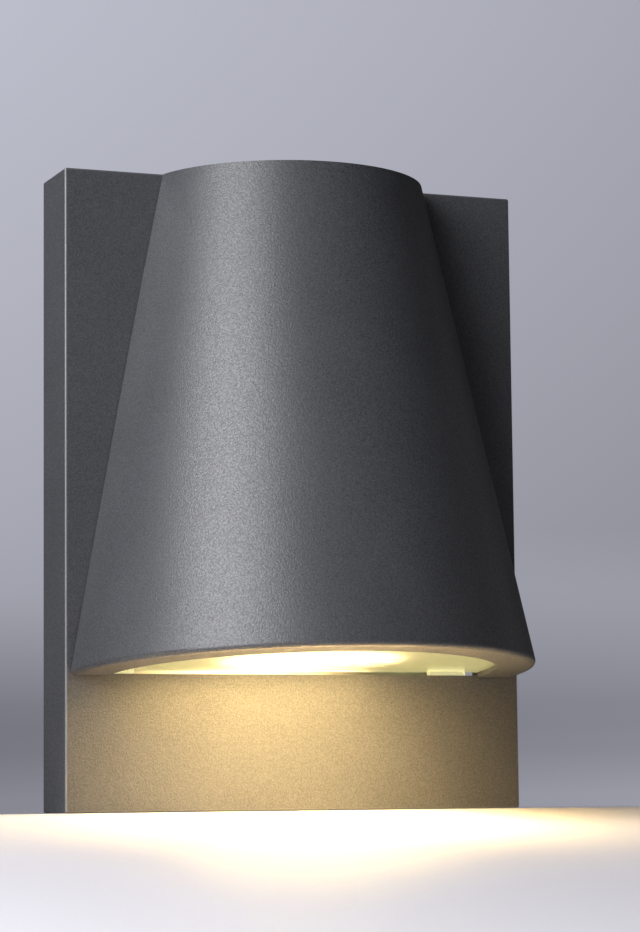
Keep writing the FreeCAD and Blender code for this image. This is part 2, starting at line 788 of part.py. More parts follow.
def make_lamp_dome():
    """Shallow opal dome: outside a piece of a large sphere, inside a shallow cone, with a short skirt."""
    axis = Vector(0, lamp_y, 0)
    bottom = lamp_face_z - dome_sag
    sphere = (dome_radius ** 2 + dome_sag ** 2) / (2 * dome_sag)
    middle_drop = sphere - math.sqrt(sphere ** 2 - (dome_radius / 2) ** 2)
    crown = Part.Arc(axis + Vector(0, 0, bottom), axis + Vector(dome_radius / 2, 0, bottom + middle_drop),
                     axis + Vector(dome_radius, 0, lamp_face_z)).toShape()
    skirt_top = lamp_face_z + dome_skirt
    inner = dome_radius - dome_wall
    inner_edge = lamp_face_z + dome_wall / 2
    corners = [(dome_radius, lamp_face_z), (dome_radius, skirt_top), (inner, skirt_top), (inner, inner_edge),
               (0, bottom + dome_wall), (0, bottom)]
    sides = Part.makePolygon([axis + Vector(radius, 0, z) for radius, z in corners])
    return Part.Face(Part.Wire([crown] + sides.Edges)).revolve(axis, Z, 360)


def make_lamp_pins():
    pins = []
    for side in (-1, 1):
        base = Vector(side * pin_circle_radius, lamp_y, lamp_top)
        head_top = pin_head_top()
        neck = rod(pin_neck_radius, base, Z, head_top - pin_head_height - lamp_top)
        head = rod(pin_head_radius, Vector(base.x, base.y, head_top - pin_head_height), Z, pin_head_height)
        pins.append(neck.fuse(head).removeSplitter())
    return pins


def led_board_z():
    return lamp_face_z + dome_skirt + dome_wall


def make_led_board():
    return rod(led_board_radius, Vector(0, lamp_y, led_board_z()), Z, led_board_thickness)


def make_leds():
    chips = []
    for number in range(led_count):
        chip = block(led_ring_radius - led_side / 2, led_ring_radius + led_side / 2, lamp_y - led_side / 2,
                     lamp_y + led_side / 2, led_board_z() - led_height, led_board_z())
        chip.rotate(Vector(0, lamp_y, 0), Z, number * 360 / led_count)
        chips.append(chip)
    return chips


def make_driver_board():
    """Driver board under the shell's back, with a coil and a capacitor can standing on it."""
    bottom = lamp_top - lamp_wall - led_board_thickness
    board = rod(driver_board_radius, Vector(0, lamp_y, bottom), Z, led_board_thickness)
    coil = rod(driver_coil_radius, Vector(-driver_part_offset, lamp_y, bottom), -Z, driver_coil_height)
    can = rod(driver_can_radius, Vector(driver_part_offset, lamp_y, bottom), -Z, driver_can_height)
    return board.fuse([coil, can]).removeSplitter()


# ---------------------------------------------------------------- terminal block and earth

def terminal_middle():
    return terminal_bottom + terminal_height / 2


def pole_places():
    return [(number - (terminal_poles - 1) / 2) * terminal_pitch for number in range(terminal_poles)]


def tube_y():
    return bracket_face - terminal_depth / 2


def make_terminal_body():
    """Terminal body: a low base with one taller tower for each pole."""
    half = terminal_poles * terminal_pitch / 2
    half_tower = (terminal_pitch - terminal_tower_gap) / 2
    front = bracket_face - terminal_depth
    base_front = bracket_face - terminal_base_depth
    top = terminal_bottom + terminal_height
    body = block(-half, half, base_front, bracket_face, terminal_bottom, top)
    towers = [rounded_block(x - half_tower, x + half_tower, front, bracket_face, terminal_bottom, top,
                            terminal_tower_corner, Y) for x in pole_places()]
    body = body.fuse(towers)
    cuts = []
    for x in pole_places():
        cuts.append(rod(terminal_tube_radius, Vector(x, tube_y(), terminal_bottom), Z, terminal_height))
        for side in (-1, 1):
            z = terminal_middle() + side * terminal_screw_spacing / 2
            cuts.append(rod(terminal_well_radius, Vector(x, front, z), Y, terminal_depth / 2))
    for side in (-1, 1):
        place = Vector(side * terminal_pitch / 2, bracket_face, terminal_middle())
        cuts.append(rod(terminal_fixing_radius + screw_clearance, place, -Y, terminal_depth))
        head_seat = Vector(place.x, base_front, place.z)
        cuts.append(rod(terminal_fixing_head_radius + hole_clearance, head_seat, -Y, terminal_depth))
    return body.cut(cuts).removeSplitter()


def make_terminal_tubes():
    tubes = []
    for x in pole_places():
        start = Vector(x, tube_y(), terminal_bottom + terminal_tube_inset)
        tube = rod(terminal_tube_radius, start, Z, terminal_height - 2 * terminal_tube_inset)
        cuts = [rod(terminal_tube_bore, start, Z, terminal_height)]
        for side in (-1, 1):
            z = terminal_middle() + side * terminal_screw_spacing / 2
            cuts.append(rod(terminal_screw_radius + screw_clearance, Vector(x, tube_y(), z), -Y,
                            terminal_depth / 2))
        tubes.append(tube.cut(cuts))
    return tubes


def make_terminal_screws():
    """Slotted grub screws, two in each tube, with their tips on the wire."""
    screws = []
    length = terminal_tube_radius + terminal_tube_bore / 3
    tip_y = tube_y() - terminal_tube_bore / 3
    head_y = tip_y - length
    radius = terminal_screw_radius
    half_slot = terminal_slot_width / 2
    for x in pole_places():
        for side in (-1, 1):
            z = terminal_middle() + side * terminal_screw_spacing / 2
            screw = rod(radius, Vector(x, tip_y, z), -Y, length)
            blade = block(x - radius, x + radius, head_y, head_y + radius / 2, z - half_slot, z + half_slot)
            screws.append(screw.cut(blade))
    return screws


def make_terminal_fixings():
    screws = []
    length = terminal_base_depth + bracket_thickness - running_gap
    for side in (-1, 1):
        tip = Vector(side * terminal_pitch / 2, -running_gap, terminal_middle())
        screws.append(pan_screw(tip, -Y, terminal_fixing_radius, length,
                                terminal_fixing_head_radius, terminal_fixing_head_height))
    return screws


def lug_barrel_top():
    return earth_z - washer_radius - running_gap


def lug_barrel_y():
    return bracket_face - lug_barrel_radius


def make_earth_lug():
    """Crimp lug: a flat ring, a flat neck and the barrel that grips the earth lead."""
    back = Vector(earth_x, bracket_face, earth_z)
    ring = rod(lug_radius, back, -Y, lug_thickness)
    neck = block(earth_x - lug_barrel_radius, earth_x + lug_barrel_radius, bracket_face - lug_thickness,
                 bracket_face, lug_barrel_top() - lug_barrel_radius, earth_z)
    barrel = rod(lug_barrel_radius, Vector(earth_x, lug_barrel_y(), lug_barrel_top()), -Z, lug_barrel_length)
    hole = rod(earth_screw_radius + screw_clearance, back, -Y, lug_thickness)
    return ring.fuse([neck, barrel]).cut(hole).removeSplitter()


def make_earth_washer():
    """Serrated washer: a ring with small notches round its edge."""
    back = Vector(earth_x, bracket_face - lug_thickness, earth_z)
    ring = rod(washer_radius, back, -Y, washer_thickness)
    cuts = [rod(earth_screw_radius + screw_clearance, back, -Y, washer_thickness)]
    for number in range(washer_notches):
        turn = 2 * math.pi * number / washer_notches
        place = back + Vector(washer_radius * math.cos(turn), 0, washer_radius * math.sin(turn))
        cuts.append(rod(washer_notch_radius, place, -Y, washer_thickness))
    return ring.cut(cuts)


def make_earth_screw():
    length = bracket_thickness + lug_thickness + washer_thickness - running_gap
    return pan_screw(Vector(earth_x, -running_gap, earth_z), -Y, earth_screw_radius, length,
                     earth_head_radius, earth_head_height)


# ---------------------------------------------------------------- leads

def make_lead(points):
    """Round lead along straight runs joined by tangent arcs, with the largest arcs that the runs allow."""
    corners = [Vector(*p) for p in points]
    edges = []
    start = corners[0]
    radii = []
    for before, corner, after in zip(corners, corners[1:], corners[2:]):
        towards = before - corner
        away = after - corner
        shorter = min(towards.Length, away.Length)
        towards.normalize()
        away.normalize()
        turn = math.pi - towards.getAngle(away)
        trim = 0.45 * shorter
        radius = trim / math.tan(turn / 2)
        radii.append(radius)
        first = corner + towards * trim
        last = corner + away * trim
        bisector = towards + away
        bisector.normalize()
        middle = corner + bisector * (radius / math.cos(turn / 2) - radius)
        edges.append(Part.LineSegment(start, first).toShape())
        edges.append(Part.Arc(first, middle, last).toShape())
        start = last
    edges.append(Part.LineSegment(start, corners[-1]).toShape())
    path = Part.Wire(edges)
    heading = corners[1] - corners[0]
    section = Part.Wire(Part.makeCircle(lead_radius, corners[0], heading))
    lead = path.makePipeShell([section], True, False)
    print("lead bend radii", [round(r, 1) for r in radii], "volume ratio",
          round(lead.Volume / (math.pi * lead_radius ** 2 * path.Length), 3))
    return lead


def lead_points_to_holder(pole_x, entry_x):
    tube_end = terminal_bottom + terminal_tube_inset
    return [(pole_x, tube_y(), tube_end), (pole_x, tube_y(), terminal_bottom - lead_drop_from_terminal),
            (entry_x, lead_entry_y(), holder_top + lead_rise_from_holder),
            (entry_x, lead_entry_y(), holder_top)]


def earth_lead_points():
    tube_end = terminal_bottom + terminal_tube_inset
    bend_z = terminal_bottom - earth_lead_dip
    middle_x = (terminal_pitch + earth_x) / 2
    middle_y = (tube_y() + lug_barrel_y()) / 2
    return [(terminal_pitch, tube_y(), tube_end), (terminal_pitch, tube_y(), bend_z),
            (middle_x, middle_y, bend_z - earth_lead_dip), (earth_x, lug_barrel_y(), bend_z),
            (earth_x, lug_barrel_y(), lug_barrel_top() - lug_barrel_length)]


# ---------------------------------------------------------------- all pieces

def main():
    save("housing", make_housing())
    save("glass", make_glass())
    save("glass_seal", seal_ring(seal_width, seal_thickness))
    save("glass_clip_left", make_glass_clip(clip_left_x))
    save("glass_clip_right", make_glass_clip(clip_right_x))
    save("glass_retainers", [make_retainer(angle) for angle in retainer_angles])
    save("retainer_screws", [make_retainer_screw(angle) for angle in retainer_angles])
    save("wall_seal", wall_seal(wall_seal_width - hole_clearance, wall_seal_depth))
    save("fixing_nuts", [make_nut(side) for side in (-1, 1)])
    save("fixing_screw_left", make_fixing_screw(-1))
    save("fixing_screw_right", make_fixing_screw(1))
    save("wall_bracket", make_bracket())
    save("cable_grommet", make_grommet())
    save("lamp_shelf", make_shelf())
    save("shelf_rivets", make_rivets())
    save("lampholder", make_lampholder())
    save("holder_contacts", make_contacts())
    save("holder_screws", make_holder_screws())
    save("lamp_shell", make_lamp_shell())
    save("lamp_dome", make_lamp_dome())
    save("lamp_pins", make_lamp_pins())
    save("lamp_led_board", make_led_board())
    save("lamp_leds", make_leds())
    save("lamp_driver", make_driver_board())
    save("terminal_block", make_terminal_body())
    save("terminal_tubes", make_terminal_tubes())
    save("terminal_screws", make_terminal_screws())
    save("terminal_fixings", make_terminal_fixings())
    save("earth_lug", make_earth_lug())
    save("earth_washer", make_earth_washer())
    save("earth_screw", make_earth_screw())
    save("live_lead", make_lead(lead_points_to_holder(-terminal_pitch, -lead_entry_x)))
    save("neutral_lead", make_lead(lead_points_to_holder(0, lead_entry_x)))
    save("earth_lead", make_lead(earth_lead_points()))


main()
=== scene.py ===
import math

import bmesh
import bpy
from bpy.props import FloatProperty, FloatVectorProperty, PointerProperty
from mathutils import Matrix, Vector


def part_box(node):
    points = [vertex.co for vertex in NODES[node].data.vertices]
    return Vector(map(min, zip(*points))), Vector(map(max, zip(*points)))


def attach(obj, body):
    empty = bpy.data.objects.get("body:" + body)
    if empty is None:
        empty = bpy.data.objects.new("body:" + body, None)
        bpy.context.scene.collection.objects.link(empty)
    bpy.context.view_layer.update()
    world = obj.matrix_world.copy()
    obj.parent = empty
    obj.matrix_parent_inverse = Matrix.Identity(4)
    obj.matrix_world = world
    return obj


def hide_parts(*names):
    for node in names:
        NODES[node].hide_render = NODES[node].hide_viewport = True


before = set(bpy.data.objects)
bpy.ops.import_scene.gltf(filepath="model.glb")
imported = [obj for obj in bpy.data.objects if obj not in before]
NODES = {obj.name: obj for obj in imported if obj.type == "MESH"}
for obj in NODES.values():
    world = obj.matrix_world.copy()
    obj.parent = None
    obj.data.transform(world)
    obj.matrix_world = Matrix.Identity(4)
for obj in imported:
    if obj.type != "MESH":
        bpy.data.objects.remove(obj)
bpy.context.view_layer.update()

bl_info = {
    "name": "Downlight wall lamp",
    "version": (1, 0, 0),
    "blender": (4, 5, 0),
    "location": "View3D > Sidebar > Wall light",
    "description": "Finishes and fine pieces of a wall light with a half-cone shade, on a soft studio stage",
    "category": "Object",
}

MM = 0.001

# ---- places read from the frame ----
# the box's front is the foremost part of the housing's foot, well below the shade
HOUSING_LOW, HOUSING_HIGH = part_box("housing")
FOOT_HEIGHT = 5 * MM
HOUSING_FRONT = min(vertex.co.y for vertex in NODES["housing"].data.vertices
                    if vertex.co.z < HOUSING_LOW.z + FOOT_HEIGHT)
DOME_LOW, DOME_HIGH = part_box("lamp_dome")
LAMP_AXIS = Vector(((DOME_LOW.x + DOME_HIGH.x) / 2, (DOME_LOW.y + DOME_HIGH.y) / 2, 0))
DOME_RADIUS = (DOME_HIGH.x - DOME_LOW.x) / 2
GLASS_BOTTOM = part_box("glass")[0].z
GLASS_FACE = max(NODES["glass"].data.polygons, key=lambda face: face.area)
SHADE_TILT = math.atan(GLASS_FACE.normal.y / GLASS_FACE.normal.z)

# ---- sizes of rounded and rubbed edges ----
EDGE_WIDTH = 0.9 * MM
CLIP_EDGE = 0.35 * MM
GROMMET_EDGE = 0.5 * MM
SEAL_EDGE = 0.4 * MM
EDGE_STEPS = 3
RING_STEPS = 48

# points closer than this are at the same place
NEAR = 0.1 * MM


# ------------------------------------------------------------------ settings

class CoatSettings(bpy.types.PropertyGroup):
    """Powder coat of the housing."""

    colour: FloatVectorProperty(
        name="Coat colour", description="Colour of the powder coat", subtype="COLOR", size=3,
        default=(0.050, 0.0515, 0.0565), min=0, max=1)
    # painted highlight: this paler colour on the box's left front edge, and less on its top and bottom front
    # edges, stands in for the light those edges catch
    edge_highlight_colour: FloatVectorProperty(
        name="Edge colour", description="Colour of the coat where edges are rubbed", subtype="COLOR", size=3,
        default=(0.15, 0.155, 0.165), min=0, max=1)
    grain_size: FloatProperty(
        name="Grain size", description="Width of one grain of the sandy surface", unit="LENGTH",
        default=0.55 * MM, min=0.1 * MM, max=5 * MM, precision=5)
    grain_height: FloatProperty(
        name="Grain height", description="Height of the grain above the smooth coat", unit="LENGTH",
        default=0.09 * MM, min=0, max=0.5 * MM, precision=6)
    roughness: FloatProperty(
        name="Roughness", description="Roughness of the coat between its grains", subtype="FACTOR",
        default=0.44, min=0, max=1)
    # painted shade: how far from a crease the coat is darkened by ambient occlusion
    crease_shade_width: FloatProperty(
        name="Crease width", description="How far dust darkens the coat beside a crease", unit="LENGTH",
        default=1.6 * MM, min=0.1 * MM, max=10 * MM, precision=5)


class GlowSettings(bpy.types.PropertyGroup):
    """Light of the disc lamp."""

    colour: FloatVectorProperty(
        name="Light colour", description="Colour of the lamp's light", subtype="COLOR", size=3,
        default=(1.0, 0.675, 0.27), min=0, max=1)
    strength: FloatProperty(
        name="Dome strength", description="Brightness of the lit dome", default=17.0, min=0, max=500)
    # painted glow: the glass and the clear clips emit light of this strength, standing in for the lamp's light
    # scattered in them
    film: FloatProperty(
        name="Glass glow", description="Brightness of the glass with the lamp behind it", default=0.17,
        min=0, max=5)
    power: FloatProperty(
        name="Light power", description="Power of the light that leaves the glass", unit="POWER",
        default=0.43, min=0, max=50)


class StageSettings(bpy.types.PropertyGroup):
    """Floor, backdrop and studio light."""

    floor_colour: FloatVectorProperty(
        name="Floor colour", description="Colour of the table top", subtype="COLOR", size=3,
        default=(0.86, 0.845, 0.89), min=0, max=1)
    floor_tilt: FloatProperty(
        name="Floor tilt", description="Angle between the table top and the light's underside",
        subtype="ANGLE", unit="ROTATION", default=math.radians(5.0), min=0, max=math.radians(20))
    key_power: FloatProperty(
        name="Key light", description="Power of the soft light at the front left", unit="POWER",
        default=19.5, min=0, max=1000)
    side_power: FloatProperty(
        name="Side light", description="Power of the weak light at the right", unit="POWER", default=0.12,
        min=0, max=1000)
    ambient: FloatProperty(
        name="Room light", description="Even light from all sides", default=0.010, min=0, max=2)


# ------------------------------------------------------------------ finishes

class Nodes:
    """A node tree in the making."""

    def __init__(self, tree):
        self.tree = tree

    def add(self, kind, inputs, **options):
        """Adds a node, sets its options, and gives each named or numbered input a value or a link."""
        made = self.tree.nodes.new(kind)
        for name, value in options.items():
            setattr(made, name, value)
        for key, value in inputs.items():
            self.join(made.inputs[key], value)
        return made

    def join(self, socket, value):
        """Links an input to another node's output, or sets its value."""
        if isinstance(value, bpy.types.NodeSocket):
            self.tree.links.new(value, socket)
        else:
            socket.default_value = value

    def maths(self, operation, first, second=0.0, third=0.0):
        """Result of one sum."""
        return self.add("ShaderNodeMath", {0: first, 1: second, 2: third}, operation=operation).outputs[0]

    def spread(self, value, low, high, to_low=0.0, to_high=1.0, curve="SMOOTHSTEP"):
        """Spreads a value from one range to another, clamped at both ends."""
        made = self.add("ShaderNodeMapRange", {"Value": value, "From Min": low, "From Max": high,
                                               "To Min": to_low, "To Max": to_high},
                        interpolation_type=curve)
        return made.outputs["Result"]

    def colours(self, value, stops):
        """Colour ramp from (position, (r, g, b)) stops."""
        ramp = self.add("ShaderNodeValToRGB", {"Fac": value})
        elements = ramp.color_ramp.elements
        while len(elements) < len(stops):
            elements.new(0.5)
        for element, (position, colour) in zip(elements, stops):
            element.position = position
            element.color = (*colour, 1.0)
        return ramp.outputs["Color"]


class Finish(Nodes):
    """One material in the making: textures on object coordinates, joined to its main shader."""

    def __init__(self, name):
        self.material = bpy.data.materials.new(name)
        self.material.use_nodes = True
        super().__init__(self.material.node_tree)
        self.shader = self.tree.nodes["Principled BSDF"]
        self.place = self.add("ShaderNodeTexCoord", {}).outputs["Object"]

    def surface(self, **inputs):
        """Sets the main shader's inputs, named with underscores for spaces."""
        for name, value in inputs.items():
            self.join(self.shader.inputs[name.replace("_", " ")], value)

    def mapped(self, move=(0, 0, 0), turn=(0, 0, 0), scale=(1, 1, 1)):
        """Object coordinates that are scaled, turned and moved."""
        mapping = self.add("ShaderNodeMapping", {"Vector": self.place, "Location": move, "Rotation": turn,
                                                 "Scale": scale}, vector_type="POINT")
        return mapping.outputs["Vector"]

    def noise(self, size, detail=2.0, place=None, seed=0.0):
        """Soft noise with features of about this size, in metres."""
        if seed:
            place = self.mapped(move=(seed, 2 * seed, 3 * seed))
        made = self.add("ShaderNodeTexNoise",
                        {"Vector": place or self.place, "Scale": 1 / size, "Detail": detail, "Roughness": 0.5})
        return made.outputs["Fac"]

    def cells(self, size, **options):
        """Distances in a pattern of cells of about this size, in metres."""
        return self.add("ShaderNodeTexVoronoi", {"Vector": self.place, "Scale": 1 / size},
                        **options).outputs["Distance"]

    def mix(self, share, first, second, blend="MIX"):
        """Mixes two colours."""
        made = self.add("ShaderNodeMix", {"Factor": share}, data_type="RGBA", blend_type=blend)
        for key, colour in (("A", first), ("B", second)):
            self.join(next(i for i in made.inputs if i.name == key and i.type == "RGBA"), colour)
        return next(o for o in made.outputs if o.type == "RGBA")

    def tones(self, value, colour, dark, light):
        """A colour that runs from a darker to a lighter tone of itself."""
        return self.colours(value, [(0.25, [dark * c for c in colour]), (0.75, [light * c for c in colour])])

    def bump(self, height, depth, under=None):
        """Relief of this depth in metres, on top of another relief if one is given."""
        inputs = {"Height": height, "Distance": depth, "Strength": 1.0}
        if under is not None:
            inputs["Normal"] = under
        return self.add("ShaderNodeBump", inputs).outputs["Normal"]


def powder_coat():
    """Sandy graphite powder coat: fine grain with paler flakes, painted shade in creases and a painted
    highlight on box edges.
    """
    settings = bpy.context.scene.wall_light_coat
    coat = Finish("graphite powder coat")
    size = settings.grain_size
    grain = coat.noise(size, detail=2.0, seed=0.3)
    pits = coat.cells(1.4 * size)
    flakes = coat.noise(1.1 * size, detail=1.0, seed=0.7)
    patches = coat.noise(60 * size, detail=3.0, seed=0.9)
    shade = coat.maths("ADD", coat.maths("MULTIPLY", flakes, 0.85), coat.maths("MULTIPLY", patches, 0.15))
    speckled = coat.tones(shade, settings.colour, 0.50, 1.60)
    edge = painted_edge_highlight_mask(coat)
    # painted highlight: the paler edge colour is mixed in along the box's front edges, most on the left one
    edge_highlighted = coat.mix(edge, speckled, (*settings.edge_highlight_colour, 1.0))
    # painted shade: ambient occlusion darkens the coat in creases and corners
    crease = coat.add("ShaderNodeAmbientOcclusion", {"Distance": settings.crease_shade_width}, samples=4)
    dust = coat.spread(crease.outputs["AO"], 0.35, 0.85, 0.35, 1.0)
    with_painted_light = coat.mix(1.0, edge_highlighted, dust, blend="MULTIPLY")
    rough = coat.spread(flakes, 0.3, 0.7, settings.roughness + 0.06, settings.roughness - 0.06)
    coat.surface(
        Base_Color=with_painted_light,
        Roughness=coat.maths("SUBTRACT", rough, coat.maths("MULTIPLY", edge, 0.1)),
        Specular_IOR_Level=0.65,
        Normal=coat.bump(grain, settings.grain_height, coat.bump(pits, settings.grain_height * 0.35)))
    return coat.material


def painted_edge_highlight_mask(coat):
    """Mask of the painted edge highlight: 1 on the left edge of the box's front, a little on its level edges,
    0 elsewhere.
    """
    split = coat.add("ShaderNodeSeparateXYZ", {"Vector": coat.place})

    def near(value, plane):
        away = coat.maths("ABSOLUTE", coat.maths("SUBTRACT", value, plane))
        return coat.spread(away, 0.4 * EDGE_WIDTH, EDGE_WIDTH, 1.0, 0.0)

    x, y, z = (split.outputs[axis] for axis in "XYZ")
    level_edges = coat.maths("MULTIPLY", near(coat.maths("ABSOLUTE", z), HOUSING_HIGH.z), 0.3)
    rim = coat.maths("MAXIMUM", near(x, HOUSING_LOW.x), level_edges)
    return coat.maths("MULTIPLY", rim, near(y, HOUSING_FRONT))


def clear_glass():
    """Satin-etched glass with a pale green body and a painted glow of its own for the lamp's light behind it.
    """
    glow = bpy.context.scene.wall_light_glow
    glass = Finish("clear glass")
    dust = glass.noise(1.5 * MM, detail=4.0)
    smears = glass.noise(25 * MM, detail=2.0, seed=0.4)
    film = glass.maths("MULTIPLY", dust, smears)
    glass.surface(
        Base_Color=glass.colours(smears, [(0.3, (0.93, 0.97, 0.91)), (0.7, (0.96, 0.98, 0.94))]),
        Roughness=glass.spread(film, 0.25, 0.6, 0.22, 0.30),
        IOR=1.52,
        Transmission_Weight=1.0,
        # painted glow: the glass emits a warm light of its own
        Emission_Color=glass.colours(smears, [(0.3, (1.0, 0.86, 0.34)), (0.7, (1.0, 0.88, 0.38))]),
        Emission_Strength=glow.film)
    return glass.material


def clear_silicone():
    """Slightly milky silicone rubber, with a painted glow."""
    rubber = Finish("clear silicone")
    cloud = rubber.noise(2.5 * MM, detail=3.0)
    skin = rubber.noise(0.25 * MM, detail=2.0)
    rubber.surface(
        Base_Color=rubber.colours(cloud, [(0.3, (0.90, 0.93, 0.84)), (0.7, (0.96, 0.97, 0.92))]),
        Roughness=rubber.spread(skin, 0.3, 0.7, 0.22, 0.38),
        IOR=1.41,
        Transmission_Weight=0.75,
        # painted glow: the clips emit a pale yellow light of their own
        Emission_Color=(1.0, 0.98, 0.48, 1.0),
        Emission_Strength=bpy.context.scene.wall_light_glow.film,
        Normal=rubber.bump(skin, 0.01 * MM))
    return rubber.material


def rubber_skin(name, colour, roughness):
    """Moulded rubber with a soft uneven skin and a little chalky bloom."""
    rubber = Finish(name)
    skin = rubber.noise(0.4 * MM, detail=4.0)
    bloom = rubber.noise(7 * MM, detail=3.0, seed=0.2)
    rubber.surface(
        Base_Color=rubber.tones(bloom, colour, 0.8, 1.3),
        Roughness=rubber.spread(skin, 0.3, 0.7, roughness - 0.08, roughness + 0.08),
        Normal=rubber.bump(skin, 0.02 * MM))
    return rubber.material


def plated_steel(name, colour, along, roughness):
    """Plated steel sheet with fine rolling lines along one axis, cloudy plating and small pits."""
    steel = Finish(name)
    stretch = [40.0, 40.0, 40.0]
    stretch["XYZ".index(along)] = 1.0
    lines = steel.noise(8 * MM, detail=4.0, place=steel.mapped(scale=stretch))
    cloud = steel.noise(9 * MM, detail=4.0, seed=0.5)
    pits = steel.cells(1.1 * MM)
    steel.surface(
        Base_Color=steel.tones(cloud, colour, 0.86, 1.12),
        Metallic=1.0,
        Roughness=steel.spread(steel.maths("ADD", lines, cloud), 0.6, 1.4, roughness - 0.08, roughness + 0.1),
        Normal=steel.bump(lines, 0.012 * MM, steel.bump(pits, 0.006 * MM)))
    return steel.material


def bright_metal(name, colour, roughness):
    """Turned and tumbled metal with fine scratches in all directions."""
    metal = Finish(name)
    grain = metal.noise(0.15 * MM, detail=3.0)
    marks = metal.cells(1.6 * MM, feature="DISTANCE_TO_EDGE")
    tint = metal.noise(3 * MM, detail=2.0, seed=0.3)
    metal.surface(
        Base_Color=metal.tones(tint, colour, 0.88, 1.08),
        Metallic=1.0,
        Roughness=metal.spread(grain, 0.3, 0.7, roughness - 0.06, roughness + 0.08),
        Normal=metal.bump(grain, 0.004 * MM, metal.bump(marks, 0.004 * MM)))
    return metal.material


def moulding(name, colour, roughness):
    """Injection-moulded plastic: a fine spark-eroded texture, slight flow shades and sink."""
    plastic = Finish(name)
    texture = plastic.noise(0.22 * MM, detail=3.0)
    flow = plastic.noise(12 * MM, detail=2.0, seed=0.6)
    plastic.surface(
        Base_Color=plastic.tones(flow, colour, 0.95, 1.04),
        Roughness=plastic.spread(texture, 0.3, 0.7, roughness - 0.07, roughness + 0.07),
        Normal=plastic.bump(texture, 0.008 * MM, plastic.bump(flow, 0.05 * MM)))
    return plastic.material


def lit_opal():
    """Opal dome lit from behind by a ring of light chips, a little dimmer at its rim and centre."""
    settings = bpy.context.scene.wall_light_glow
    opal = Finish("lit opal dome")
    centred = opal.mapped(move=-LAMP_AXIS)
    flat = opal.add("ShaderNodeVectorMath", {0: centred, 1: (1.0, 1.0, 0.0)}, operation="MULTIPLY")
    radius = opal.add("ShaderNodeVectorMath", {0: flat.outputs["Vector"]}, operation="LENGTH").outputs["Value"]
    ring = opal.maths("ABSOLUTE", opal.maths("SUBTRACT", radius, 0.6 * DOME_RADIUS))
    bright = opal.spread(ring, 0.0, 0.45 * DOME_RADIUS, 1.0, 0.0)
    mottle = opal.noise(1.2 * MM, detail=2.0)
    warm = settings.colour
    dim = [0.72 * c for c in warm]
    opal.surface(
        Base_Color=opal.colours(mottle, [(0.3, (0.90, 0.89, 0.86)), (0.7, (0.94, 0.93, 0.90))]),
        Roughness=opal.spread(mottle, 0.3, 0.7, 0.30, 0.42),
        Emission_Color=opal.colours(bright, [(0.0, dim), (1.0, warm)]),
        Emission_Strength=settings.strength)
    return opal.material


def light_chip():
    """Yellow phosphor on a white chip body."""
    chip = Finish("phosphor")
    grains = chip.noise(0.12 * MM, detail=2.0)
    chip.surface(
        Base_Color=chip.colours(grains, [(0.3, (0.85, 0.55, 0.08)), (0.7, (0.95, 0.70, 0.15))]),
        Roughness=chip.spread(grains, 0.3, 0.7, 0.45, 0.6),
        Normal=chip.bump(grains, 0.01 * MM))
    return chip.material


def circuit_board(name, colour):
    """Solder mask over fine copper tracks."""
    board = Finish(name)
    tracks = board.cells(2.4 * MM, distance="MANHATTAN", feature="DISTANCE_TO_EDGE")
    raised = board.spread(tracks, 0.08, 0.14)
    board.surface(
        Base_Color=board.tones(raised, colour, 0.8, 1.2),
        Roughness=board.spread(raised, 0.0, 1.0, 0.28, 0.4),
        Normal=board.bump(raised, 0.03 * MM))
    return board.material


def cable_sheath(name, colour):
    """Soft PVC insulation with a slight extrusion ripple."""
    sheath = Finish(name)
    ripple = sheath.noise(0.5 * MM, detail=2.0, place=sheath.mapped(scale=(1, 1, 0.15)))
    tint = sheath.noise(6 * MM, detail=2.0, seed=0.1)
    sheath.surface(
        Base_Color=sheath.tones(tint, colour, 0.9, 1.12),
        Roughness=sheath.spread(ripple, 0.3, 0.7, 0.32, 0.46),
        Normal=sheath.bump(ripple, 0.01 * MM))
    return sheath.material


def striped_sheath(name, colour, stripe, stripe_width):
    """Two-coloured insulation: bands of the stripe's colour that run round the lead."""
    sheath = Finish(name)
    slanted = sheath.mapped(turn=(0.5, 0.6, 0.0))
    bands = sheath.add("ShaderNodeTexWave", {"Vector": slanted, "Scale": 1 / (stripe_width * 20),
                                             "Distortion": 0.0}, bands_direction="Z").outputs["Fac"]
    ripple = sheath.noise(0.5 * MM, detail=2.0)
    sheath.surface(
        Base_Color=sheath.colours(sheath.spread(bands, 0.45, 0.55), [(0.0, colour), (1.0, stripe)]),
        Roughness=sheath.spread(ripple, 0.3, 0.7, 0.32, 0.46),
        Normal=sheath.bump(ripple, 0.01 * MM))
    return sheath.material


def dress(node, material):
    """Gives a carried-over node its finish."""
    slots = NODES[node].data.materials
    slots.clear()
    slots.append(material)


# ------------------------------------------------------------------ modelling

def start(name, primitive, stretch=(1, 1, 1), **sizes):
    """Adds a primitive by itself, names and stretches it, and opens it in edit mode."""
    bpy.ops.object.select_all(action="DESELECT")
    primitive(**sizes)
    piece = bpy.context.active_object
    piece.name = name
    piece.scale = stretch
    bpy.ops.object.transform_apply(location=True, rotation=True, scale=True)
    bpy.ops.object.mode_set(mode="EDIT")
    return piece


